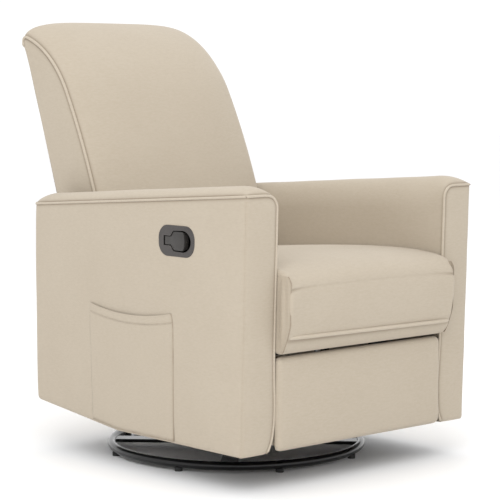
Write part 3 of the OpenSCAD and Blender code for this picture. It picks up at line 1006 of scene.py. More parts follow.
@dataclass
class Arm(SubAssembly):
    """One padded arm: side, crowned top, front and underside, with its piping."""

    side: Side = Side.LEFT
    slope: float = math.radians(3.9)
    rake: float = math.radians(1.76)
    crown_rise: float = 23 * MM
    crown_half: float = 44 * MM
    inner_fall: float = 48 * MM
    front_corner: float = 28 * MM
    rear_corner: float = 19 * MM
    rear_padding: float = 4 * MM
    kink: float = 10 * MM
    rear_rise: float = 35 * MM
    puff: float = 2.6 * MM
    welt: float = 3.0 * MM
    cell: float = 8 * MM

    def __post_init__(self) -> None:
        """Takes the arm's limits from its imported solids."""
        self.word = self.side.name.lower()
        low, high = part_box(f"arm_cover_{self.word}")
        front_low, front_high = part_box(f"arm_front_{self.word}")
        self.outer = max(abs(low.x), abs(high.x))
        self.inner = min(abs(low.x), abs(high.x))
        self.rear = high.y + self.rear_padding
        self.front = front_low.y + self.crown_rise * math.tan(self.rake)
        self.under = front_low.z
        self.welt_z = front_high.z - self.crown_rise

    def line(self, y: np.ndarray) -> np.ndarray:
        """Height of the outer welt at y."""
        return self.welt_z - (y - self.front) * math.tan(self.slope)

    def face(self, z: np.ndarray) -> np.ndarray:
        """Y of the raked front at height z."""
        return self.front + (self.welt_z - z) * math.tan(self.rake)

    def bottom(self, y: np.ndarray) -> np.ndarray:
        """Height of the underside at y."""
        run = self.rear - self.kink
        return self.under + self.rear_rise * np.clip((y - self.kink) / run, 0, 1)

    def place(self, grid: Grid) -> Grid:
        """Mirrors a grid that was laid out for the left arm, if this is the right one."""
        return grid * np.array([self.side.value, 1.0, 1.0])

    def sections(self) -> tuple[np.ndarray, np.ndarray]:
        """The crowned section of the arm's top and the flat one at its ends, [x, height]."""
        low = self.outer - self.crown_half
        a = np.linspace(0, np.pi / 2, 14)
        b = np.linspace(0, np.pi / 2, 20)[1:]
        crown = np.vstack([
            np.stack([low + self.crown_half * np.cos(a), self.crown_rise * np.sin(a)], 1),
            np.stack([
                low - (low - self.inner) * np.sin(b),
                -self.inner_fall + (self.inner_fall + self.crown_rise) * np.cos(b),
            ], 1),
        ])
        r = self.front_corner
        edge = np.vstack([
            [[low, 0.0]],
            arc((self.inner + r, -r), r, 90, 180, 24),
            [[self.inner, -self.inner_fall]],
        ])
        flat = np.vstack([
            np.stack([crown[:14, 0], np.zeros(14)], 1),
            respace(edge, 20)[1:],
        ])
        return crown, flat

    def top_grid(self) -> Grid:
        """Crowned top and inner side in one sheet, from the outer welt to the inner bottom edge."""
        crown, flat = self.sections()
        lower = 34
        span = self.rear - self.front
        v = crowded(int(span / self.cell) + 20, 0.75)
        drops = np.linspace(0, 1, lower + 1)[1:]
        rows = []
        for (cx, ch), (fx, fh) in zip(crown, flat):
            gap = min(min(self.outer - fx, fx - self.inner), self.rear_corner)
            end = self.rear - self.rear_corner + math.sqrt(
                max(self.rear_corner**2 - (self.rear_corner - gap) ** 2, 0.0))
            start = float(self.face(self.welt_z + fh))
            y = start + (end - start) * v
            rise = swell((y - start) / (58 * MM)) * swell((end - y) / (46 * MM))
            rows.append(np.stack([fx + (cx - fx) * rise, y, self.line(y) + fh + (ch - fh) * rise], 1))
        end = self.rear - self.rear_corner
        for share in drops:
            z_front = (1 - share) * (self.welt_z - self.inner_fall) + share * self.under
            start = float(self.face(z_front))
            y = start + (end - start) * v
            z = (1 - share) * (self.line(y) - self.inner_fall) + share * self.bottom(y)
            rows.append(np.stack([np.full_like(y, self.inner), y, z], 1))
        grid = np.array(rows)
        inset = self.front_edge_inset(grid[..., 2])
        near_front = np.exp(-np.maximum(grid[..., 1] - self.face(grid[..., 2]), 0) / (30 * MM))
        side_part = np.arange(len(rows)) >= len(crown)
        grid[..., 0] += inset * near_front * side_part[:, None]
        uneven = Ripple(11 + self.side.value, 0.16, 0.5 * MM).at(grid)
        edge = np.clip(np.minimum(np.arange(len(rows))[:, None], 6) / 6, 0, 1)
        return grid + normals_of(grid) * (uneven * edge)[..., None]

    def front_edge_inset(self, z: np.ndarray) -> np.ndarray:
        """How far the front's inner edge stands from its straight line, at height z."""
        foot = self.under + 44 * MM
        bow = -4.5 * MM * np.exp(-(((z - self.under - 95 * MM) / (62 * MM)) ** 2))
        return bow * np.clip((z - self.under) / (60 * MM), 0, 1) + 15 * MM * np.clip(
            (foot - z) / (44 * MM), 0, 1) ** 2

    def front_grid(self) -> Grid:
        """The flat front, pulled into the welt at the top and inside, and into a seam outside."""
        r = self.front_corner
        z = self.welt_z - (self.welt_z - self.under) * crowded(80, 0.5)
        down = np.clip(r - (self.welt_z - z), 0, r)
        inside = self.inner + r - np.sqrt(r * r - down * down) + self.front_edge_inset(z)
        share = crowded(18, 0.6)
        outside = self.outer - 1.2 * MM
        x = outside + (inside[:, None] - outside) * share[None, :]
        zz = np.repeat(z[:, None], len(share), 1)
        gap = np.minimum(np.minimum(outside - x, x - inside[:, None]), self.welt_z - zz)
        y = self.face(zz) - puffed(gap, 2.4 * MM, 13 * MM) + tucked(gap, 2.2 * MM, 5 * MM)
        y += tucked(zz - self.under, 3.0 * MM, 7 * MM)
        grid = np.stack([x, y, zz], 2)
        grid[..., 1] += Ripple(23 + self.side.value, 0.11, 0.35 * MM).at(grid)
        return grid

    def side_grid(self) -> Grid:
        """Outer side that wraps round both rear corners to the inside."""
        r = self.rear_corner
        straight = int((self.rear - r - self.front) / self.cell)
        outer_c, inner_c = self.outer - r, self.inner + r
        plan = [(self.outer, None, 1.0, 0.0, f, 0.0) for f in crowded(straight, 0.35)]
        for a in np.linspace(0, np.pi / 2, 10)[1:]:
            c, s = math.cos(a), math.sin(a)
            plan.append((outer_c + r * c, self.rear - r + r * s, c, s, 1.0, 0.0))
        for x in np.linspace(outer_c, inner_c, 6)[1:]:
            plan.append((x, self.rear, 0.0, 1.0, 1.0, 0.0))
        for a in np.linspace(0, np.pi / 2, 10)[1:]:
            c, s = math.cos(a), math.sin(a)
            plan.append((inner_c - r * s, self.rear - r + r * c, -s, c, 1.0, r * (1 - c)))
        w = crowded(72, 0.8)
        columns = []
        for x, y, nx, ny, f, drop in plan:
            y_end = self.rear - r
            top_y = self.front + 1.5 * MM + (y_end - self.front) * f if y is None else y
            top = float(self.line(top_y)) - drop
            low = float(self.bottom(top_y))
            z = top + (low - top) * w
            if y is None:
                start = self.face(z) + 1.4 * MM
                yy = start + (y_end - start) * f
                ahead = yy - start
            else:
                yy = np.full_like(z, y)
                ahead = np.full_like(z, 1.0)
            gap = np.minimum(np.minimum(top - z, z - low), ahead)
            off = puffed(gap, self.puff, 28 * MM)
            off -= tucked(np.minimum(top - z, ahead), 2.4 * MM, 6 * MM)
            off -= tucked(z - low, 3.0 * MM, 8 * MM)
            off *= 1 - 0.9 * max(-nx, 0.0)
            columns.append(np.stack([x + nx * off, yy + ny * off, z], 1))
        grid = np.array(columns).transpose(1, 0, 2)
        uneven = Ripple(37 + self.side.value, 0.21, 0.4 * MM).at(grid)
        grid[..., 0] += uneven * (grid[..., 0] > self.outer - 6 * MM)
        return grid

    def under_grid(self) -> Grid:
        """The dust cloth that closes the arm underneath."""
        start, end = float(self.face(self.under)) + 4 * MM, self.rear - 6 * MM
        y = np.linspace(start, end, 70)
        f = np.linspace(0, 1, 12)
        rows = []
        for place in y:
            past = max(place - (self.rear - self.rear_corner), 0.0)
            pull = self.rear_corner - math.sqrt(max(self.rear_corner**2 - past**2, 0.0))
            a, b = self.inner + 4 * MM + pull, self.outer - 4 * MM - pull
            x = a + (b - a) * f
            sag = 1.5 * MM * np.sin(np.pi * f)
            rows.append(np.stack([x, np.full_like(x, place), self.bottom(place) + 3.5 * MM - sag], 1))
        return np.array(rows)

    def welt_line(self) -> np.ndarray:
        """The piping's run, from the foot of the front's inner edge to the top's inner rear corner."""
        r, tight, rc = self.front_corner, 7 * MM, self.rear_corner
        z = np.linspace(self.under + 6 * MM, self.welt_z - r, 60)
        inner = self.inner + self.front_edge_inset(z) + 0.6 * MM
        points = [np.stack([inner, self.face(z) + 0.8 * MM, z], 1)]
        turn = arc((self.inner + r, self.welt_z - r), r - 0.6 * MM, 180, 90, 14)[1:]
        points.append(np.stack([turn[:, 0], self.face(turn[:, 1]) + 0.8 * MM, turn[:, 1]], 1))
        x = np.linspace(self.inner + r, self.outer - 1.5 * MM - tight, 8)[1:]
        y = np.full_like(x, self.front + 0.8 * MM)
        points.append(np.stack([x, y, np.full_like(x, self.welt_z)], 1))
        centre = (self.outer - 1.5 * MM - tight, self.front + 0.8 * MM + tight)
        turn = arc(centre, tight, -90, 0, 7)[1:]
        points.append(np.column_stack([turn, self.line(turn[:, 1])]))
        y = np.linspace(centre[1], self.rear - rc, 100)[1:]
        points.append(np.column_stack([np.full_like(y, self.outer - 1.5 * MM), y, self.line(y)]))
        turn = arc((self.outer - rc, self.rear - rc), rc - 1.5 * MM, 0, 90, 12)[1:]
        points.append(np.column_stack([turn, self.line(turn[:, 1])]))
        x = np.linspace(self.outer - rc, self.inner + rc, 6)[1:]
        points.append(np.column_stack([
            x, np.full_like(x, self.rear - 1.5 * MM), np.full_like(x, self.line(self.rear))]))
        a = np.linspace(0, np.pi / 2, 12)[1:]
        points.append(np.column_stack([
            self.inner + rc - (rc - 1.0 * MM) * np.sin(a),
            self.rear - rc + (rc - 1.5 * MM) * np.cos(a),
            self.line(self.rear - rc + rc * np.cos(a)) - rc * (1 - np.cos(a)),
        ]))
        line = np.vstack(points)
        return respace(line, int(length_of(line) / (4 * MM)))

    def build(self) -> None:
        """Makes and fits the arm's pieces."""
        word, sign = self.word, float(self.side.value)
        welt = self.place(self.welt_line())
        near = near_line(welt, 2.4 * MM, self.welt)
        z = np.linspace(self.under, self.welt_z, 60)
        corner = np.stack([np.full_like(z, sign * self.outer), self.face(z), z], 1)
        near_corner = near_line(corner, 2.2 * MM)

        def closeness(points: np.ndarray) -> np.ndarray:
            """Closeness to the piping or to the plain corner seam."""
            return np.maximum(near(points), 0.45 * near_corner(points))

        middle = (sign * (self.inner + self.outer) / 2, -0.05, 0.35)
        cloth, felt = self.finishes.cloth, self.finishes.felt
        top = slab(f"arm_{word}_top_cloth", self.place(self.top_grid()), 7 * MM, cloth, middle)
        side = slab(f"arm_{word}_side_cloth", self.place(self.side_grid()), 6 * MM, cloth, middle)
        front = slab(f"arm_{word}_front_cloth", self.place(self.front_grid()), 7 * MM, cloth, middle)
        under = slab(f"arm_{word}_dust_cloth", self.place(self.under_grid()), 2 * MM, felt, middle)
        turn = self.rear_corner * (1 - math.sqrt(0.5))
        knob = np.array([sign * (self.outer - turn), self.rear - turn, self.line(self.rear - turn)])
        gap = np.linalg.norm(welt - knob, axis=1)
        radius = self.welt + 1.6 * MM * np.exp(-((gap / (5 * MM)) ** 2))
        piping = tube(f"arm_{word}_piping", welt, radius, self.finishes.piping)
        for piece in (top, side, front):
            mark_seam_shade(piece, closeness)
        self.fit(top, Body.SEAT, "cream_cloth", [f"arm_pad_{word}"], 0.75)
        self.fit(side, Body.SEAT, "cream_cloth", [f"arm_cover_{word}"], 0.35)
        self.fit(front, Body.SEAT, "cream_cloth", [f"arm_front_{word}"], 0.4)
        self.fit(under, Body.SEAT, "deck_felt")
        self.fit(piping, Body.SEAT, "cream_cloth")
        self.side_piece = side


@dataclass
class Pocket(SubAssembly):
    """Patch pocket on the right arm, with a hemmed mouth that hangs a little open."""

    sag: float = 15 * MM
    hem: float = 20 * MM
    pull_in: float = 7 * MM
    lean: float = 11 * MM
    belly: float = 3.4 * MM
    thick: float = 1.7 * MM

    def __post_init__(self) -> None:
        """Takes the pocket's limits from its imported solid."""
        self.low, self.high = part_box("side_pocket")
        self.face = -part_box("arm_cover_right")[0].x

    def grid(self, arm: Arm) -> Grid:
        """The pocket's outer sheet, from its mouth down.

        Args:
            arm: the arm that it is sewn to.

        Returns:
            Rows from the mouth to the bottom, columns from the front to the rear.
        """
        f = crowded(46, 0.5)
        y = self.low.y + (self.high.y - self.low.y) * f
        mouth = self.high.z - self.sag * (1 - (2 * f - 1) ** 2)
        foot = arm.bottom(y) + 5 * MM
        drops = np.concatenate([np.linspace(0, 1, 13)[:-1] * self.hem * 1.25,
                                self.hem * 1.25 + np.linspace(0, 1, 34) ** 1.02])
        rows = []
        for drop in drops:
            if drop < self.hem * 1.25:
                z = mouth - drop
            else:
                share = drop - self.hem * 1.25
                z = mouth - self.hem * 1.25 - (mouth - self.hem * 1.25 - foot) * share
            down = (mouth - z) / (mouth - foot)
            near_mouth = np.exp(-(mouth - z) / (14 * MM))
            shift = self.pull_in * near_mouth * (1 - 2 * f) - self.lean * down * f
            gap = np.minimum(np.minimum(f, 1 - f) * (self.high.y - self.low.y), z - foot + 2 * MM)
            belly = puffed(gap, self.belly, 22 * MM) * (0.55 + 0.45 * near_mouth)
            fold = 0.7 * MM * ease((self.hem - (mouth - z)) / (1.5 * MM) + 0.5)
            fold *= np.clip(gap / (3 * MM), 0, 1)
            stitch = 0.55 * MM * np.exp(-(((mouth - z - self.hem) / (1.6 * MM)) ** 2))
            off = arm.puff + 1.3 * MM + belly + fold - stitch - tucked(gap, 1.3 * MM, 4 * MM)
            rows.append(np.stack([-(self.face + off), y + shift, z], 1))
        grid = np.array(rows)
        grid[..., 0] += Ripple(51, 0.09, 0.35 * MM).at(grid)
        return grid

    def build(self, arm: Arm) -> None:
        """Makes and fits the pocket and its hem stitches.

        Args:
            arm: the right arm.
        """
        grid = self.grid(arm)
        edge = np.vstack([grid[:, 0], grid[-1], grid[::-1, -1]])
        sheet = slab("side_pocket_cloth", grid, self.thick, self.finishes.cloth, (0.0, 0.0, 0.25))
        hem_row = grid[int(np.argmin(np.abs(grid[0, 20, 2] - grid[:, 20, 2] - self.hem + 1.5 * MM)))]
        near_edge, near_hem = near_line(edge, 2.0 * MM), near_line(hem_row, 1.4 * MM)

        def closeness(points: np.ndarray) -> np.ndarray:
            """Closeness to the sewn edge or to the hem's stitching."""
            return np.maximum(0.8 * near_edge(points), 0.45 * near_hem(points))

        mark_seam_shade(sheet, closeness)
        self.fit(sheet, Body.SEAT, "cream_cloth", ["side_pocket"], 0.1)
        row = hem_row[2:-2] + np.array([-0.15 * MM, 0, 0])
        thread = stitches("side_pocket_stitches", row, np.array([-1.0, 0, 0]), self.finishes.thread)
        self.fit(thread, Body.SEAT, "cream_cloth")


@dataclass
class Handle(SubAssembly):
    """Release handle: a bevelled bezel let into the arm, with a pull paddle in its recess."""

    depth: float = 22 * MM
    slack: float = 1.1 * MM

    def __post_init__(self) -> None:
        """Takes the handle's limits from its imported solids."""
        low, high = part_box("handle_bezel")
        self.centre_y = (low.y + high.y) / 2
        self.centre_z = (low.z + high.z) / 2
        self.length = high.y - low.y
        self.height = high.z - low.z
        self.face = low.x

    def at(self, outline: np.ndarray, x: float) -> np.ndarray:
        """Stands an outline, [forwards, up], in the arm's side plane at x."""
        count = len(outline)
        return np.column_stack([
            np.full(count, x), self.centre_y - outline[:, 0], self.centre_z + outline[:, 1]])

    def paddle_outline(self, slack: float) -> np.ndarray:
        """T shape of the paddle, [forwards, up], grown by a clearance."""
        s = slack / MM
        half = [
            (-39.4 - 2.6 * s, 9.3 + s), (-20.5 + s / 2, 9.3 + s), (-17.0, 11.6 + s),
            (-13.5, 17.0 + s), (-8.5, 21.0 + s), (19.0, 21.0 + s), (22.5, 19.2 + s),
            (24.5 + s, 14.0), (26.5 + s, 0.0),
        ]
        lower = [(a, -b) for a, b in half[-2::-1]]
        return np.array(half + lower) * MM

    def hole_outline(self) -> np.ndarray:
        """The recess: the paddle's shape with room for fingers in front."""
        outline = self.paddle_outline(self.slack)
        keep = outline[outline[:, 0] < -7 * MM]
        top = keep[keep[:, 1] > 0]
        bottom = keep[keep[:, 1] < 0]
        turn = np.radians(np.linspace(90, -90, 22))
        round_end = np.stack([(21 + 28.2 * np.cos(turn)) * MM, 23.4 * MM * np.sin(turn)], 1)
        return np.vstack([top, round_end, bottom])

    def prism(self, name: str, outline: np.ndarray, levels: Sequence[tuple[float, float]],
              finish: bpy.types.Material) -> bpy.types.Object:
        """A solid with one outline at several depths, each grown by some amount.

        Args:
            name: the piece's name.
            outline: [forwards, up] points.
            levels: x and growth of each ring.
            finish: its material.

        Returns:
            The object.
        """
        out = outward(outline)
        rings = np.array([self.at(outline + out * grow, x) for x, grow in levels])
        return loft(name, rings, finish, 30.0)

    def build(self, arm: Arm) -> None:
        """Makes and fits the bezel and the paddle, and opens the arm's side for them.

        Args:
            arm: the right arm.
        """
        side = -arm.outer
        rim = round_rectangle(self.length, self.height, 29.5 * MM, 12)
        hole = round_rectangle(self.length - 10.5 * MM, self.height - 10.5 * MM, 24 * MM, 12)
        through = [(side - 8 * MM, 0), (side + 12 * MM, 0)]
        opening = self.prism("arm_opening", hole, through, self.finishes.cloth)
        cut(arm.side_piece, opening)
        smooth(arm.side_piece)
        x = self.face
        levels = [
            (side + self.depth + 2 * MM, -7 * MM), (side + 1.0 * MM, -6.2 * MM),
            (side - 0.6 * MM, -5.6 * MM), (side - 0.6 * MM, -0.4 * MM),
            (side - 1.2 * MM, 0.0), (x + 1.4 * MM, 0.0),
            (x + 0.55 * MM, -0.6 * MM), (x + 0.1 * MM, -1.7 * MM), (x, -3.4 * MM),
        ]
        bezel = self.prism("handle_bezel_moulding", rim, levels, self.finishes.plastic)
        undercut = [
            (x - 2 * MM, 0.9 * MM), (x + 0.9 * MM, 0.0), (x + 2.2 * MM, 0.2 * MM),
            (x + 4.5 * MM, 3.0 * MM), (side + self.depth, 3.0 * MM),
        ]
        recess = self.prism("handle_recess", self.hole_outline(), undercut, self.finishes.plastic)
        cut(bezel, recess)
        # Faces deep in the recess take the near-black recess material: painted shade inside the handle's
        # recess.
        bezel.data.materials.append(self.finishes.recess)
        for face in bezel.data.polygons:
            deep = face.center.x > x + 1.2 * MM
            within_z = abs(face.center.z - self.centre_z) < self.height / 2 - 7 * MM
            within_y = abs(face.center.y - self.centre_y) < self.length / 2 - 7 * MM
            if deep and within_z and within_y:
                face.material_index = 1
        smooth(bezel, 30.0)
        self.fit(bezel, Body.SEAT, "handle_plastic", ["handle_bezel"])
        low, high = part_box("handle_paddle")
        top = low.x
        levels = [(high.x, -0.5 * MM), (high.x - 0.8 * MM, 0.0), (top + 1.5 * MM, 0.0),
                  (top + 0.5 * MM, -0.5 * MM), (top, -1.6 * MM)]
        outline = self.paddle_outline(0.0)
        paddle = self.prism("handle_paddle_moulding", outline, levels, self.finishes.paddle)
        self.fit(paddle, Body.PADDLE, "handle_plastic", ["handle_paddle"])


@dataclass
class SeatCushion(SubAssembly):
    """Seat cushion with its top seam, thick lower piping, under-roll and side gussets."""

    cell: float = 8 * MM
    corner: float = 10 * MM
    crown: float = 7 * MM
    droop: float = 6 * MM
    roll_welt: float = 4.4 * MM
    shrink: float = 4 * MM
    seam: tuple[float, float] = (-464 * MM, 442.5 * MM)
    welt: tuple[float, float] = (-451.5 * MM, 331 * MM)

    def __post_init__(self) -> None:
        """Takes the cushion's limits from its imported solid."""
        self.low, self.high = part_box("seat_cushion")
        self.half = self.high.x

    def outline(self) -> np.ndarray:
        """Side outline, [y, z], once round."""
        front, rear, top = self.low.y, self.high.y, self.high.z
        points = [
            (rear - 1 * MM, 0.350), (rear - 10 * MM, 0.3415), (0.0, 0.3412), (-0.200, 0.3412),
            (-0.375, 0.3412), (-0.395, 0.336),
            (-0.4000, 0.318), (-0.4045, 0.3035), (-0.4150, 0.2960), (-0.4290, 0.2975),
            (-0.4410, 0.3080), (-0.4480, 0.3200), self.welt, (front + 8.0 * MM, 0.348),
            (front + 3.6 * MM, 0.376), (front + 0.4 * MM, 0.406), (front, 0.428), self.seam,
            (front + 6.0 * MM, 0.4555), (front + 16 * MM, 0.4670), (front + 36 * MM, 0.4755),
            (front + 66 * MM, 0.4815), (-0.336, top - 0.5 * MM), (-0.256, top), (-0.146, top - 4 * MM),
            (-0.050, top - 11 * MM), (0.060, top - 20 * MM), (0.122, top - 26 * MM),
            (rear - 7 * MM, top - 31 * MM), (rear - 1 * MM, top - 42 * MM), (rear - 1 * MM, 0.400),
        ]
        fine = smooth_line([*points, points[0]], 0.5 * MM)
        gap = np.hypot(fine[:, 0] - self.seam[0], fine[:, 1] - self.seam[1])
        step = np.clip(1.6 * MM + (gap - 5 * MM) * 0.4, 1.6 * MM, self.cell)
        count = np.concatenate([[0], np.cumsum(0.5 * MM / step)])[:len(fine)]
        picks = np.searchsorted(count, np.arange(int(count[-1])))
        return fine[picks]

    def build(self) -> None:
        """Makes and fits the cushion, its piping and its gussets."""
        outline = self.outline()
        inward = -outward(outline)
        near_end = np.linspace(0, 1, 7)[1:-1]
        inner_x = np.linspace(-(self.half - self.corner), self.half - self.corner, 62)
        ends = self.half - self.corner + self.corner * np.sin(near_end * np.pi / 2)
        xs = np.concatenate([[-self.half], -ends[::-1], inner_x, ends, [self.half]])
        top = ease((outline[:, 1] - 0.44) / (35 * MM)) * ease((0.16 - outline[:, 0]) / (60 * MM))
        front = ease((-0.435 - outline[:, 0]) / (20 * MM)) * ease((outline[:, 1] - 0.36) / (60 * MM))
        soft = np.maximum(top, ease((-0.445 - outline[:, 0]) / (10 * MM)) * (outline[:, 1] > 0.34))
        rings = []
        for x in xs:
            e = abs(x) / self.half
            past = max(abs(x) - (self.half - self.corner), 0.0)
            inset = self.corner - math.sqrt(max(self.corner**2 - past**2, 0.0))
            inset = inset * 0.8 + self.shrink * (1 - e**6) * soft
            ring = outline + inward * inset[:, None] if np.ndim(inset) else outline + inward * inset
            lift = self.crown * (1 - e * e) * top - self.droop * e**5 * front
            rings.append(np.column_stack([np.full(len(ring), x), ring[:, 0], ring[:, 1] + lift]))
        rings = np.array(rings)
        cushion = loft("seat_cushion_cloth", rings, self.finishes.cloth)
        places = coords_of(cushion)
        seam_gap = self.seam_gap(places)
        held = np.maximum.reduce([
            np.clip(1.4 - seam_gap / (7 * MM), 0, 1),
            ease((np.abs(places[:, 0]) - self.half + 24 * MM) / (12 * MM)),
            (places[:, 2] < 0.343).astype(float),
            ease((places[:, 1] - 0.110) / (30 * MM)),
        ])
        Filling(pressure=3.0, most=9 * MM).puff(cushion, held)
        places = coords_of(cushion)
        seam_gap = self.seam_gap(places)
        groove = 3.0 * MM * np.exp(-((seam_gap / (2.8 * MM)) ** 2))
        places[:, 1] += groove * 0.8
        places[:, 2] -= groove * 0.6
        cushion.data.vertices.foreach_set("co", places.ravel())
        cushion.data.update()
        smooth(cushion)

        def closeness(points: np.ndarray) -> np.ndarray:
            """Closeness to the top seam or to the lower piping."""
            near_top = 1.3 * np.exp(-((self.seam_gap(points) / (2.6 * MM)) ** 2))
            low_gap = np.hypot(points[:, 1] - self.welt[0], points[:, 2] - self.welt[1] + 4 * MM)
            return np.maximum(near_top, np.exp(-low_gap / (3.5 * MM)))

        mark_seam_shade(cushion, closeness)
        self.fit(cushion, Body.SEAT, "cream_cloth", ["seat_cushion"], 0.8)
        x = np.linspace(-self.half + 9 * MM, self.half - 9 * MM, 90)
        e = np.abs(x) / self.half
        bow = 10 * MM * e**14
        roll = np.column_stack([x, self.welt[0] - 2.6 * MM + bow, self.welt[1] + 0.5 * MM - x * 0.010])
        piping = tube("seat_roll_piping", roll, self.roll_welt, self.finishes.piping)
        self.fit(piping, Body.SEAT, "cream_cloth")
        for side in Side:
            self.gusset(side)

    def seam_gap(self, places: np.ndarray) -> np.ndarray:
        """Distance of each place from the front's top seam, which droops towards its ends."""
        droop = self.droop * np.clip(np.abs(places[:, 0]) / self.half, 0, 1) ** 5
        return np.hypot(places[:, 1] - self.seam[0], places[:, 2] - self.seam[1] + droop)

    def gusset(self, side: Side) -> None:
        """The pleated end of the cushion, seen between it and the arm.

        Args:
            side: which end.
        """
        front, rear = self.low.y + 3.0 * MM, self.low.y + 78 * MM
        upper, lower = 0.4655, 0.300
        f, g = crowded(22, 0.5), crowded(40, 0.4)
        rows = []
        for down in g:
            z = upper - (upper - lower) * down
            start = front + 5 * MM * np.clip(down - 0.1, 0, 1)
            start += 22 * MM * np.clip((down - 0.62) / 0.38, 0, 1) ** 1.4
            start += 9 * MM * np.clip((0.12 - down) / 0.12, 0, 1) ** 2
            y = start + (rear - start) * f
            free = np.clip((self.low.y + 40 * MM - y) / (14 * MM), 0, 1)
            within = min(max(down, 0.0), 1.0)
            wave = 1.9 * MM * np.sin(f * 17.0 + 1.3 + 1.6 * down) * np.sin(np.pi * within) ** 0.6
            edge = np.clip(np.minimum(f, 1 - f) / 0.12, 0, 1)
            x = self.half - 3.2 * MM + (3.4 * MM + 2.8 * MM * free) * np.sqrt(edge) * math.sin(
                math.pi * (0.04 + 0.92 * down)) ** 0.4 + wave * free * edge
            rows.append(np.column_stack([x * side.value, y, np.full_like(y, z)]))
        grid = np.array(rows)
        name = f"seat_gusset_{side.name.lower()}"
        piece = slab(name, grid, 3 * MM, self.finishes.cloth, (0.0, -0.4, 0.38))
        mark_seam_shade(piece, near_line(grid[:, 0], 2.5 * MM))
        self.fit(piece, Body.SEAT, "cream_cloth", (), 0.3)


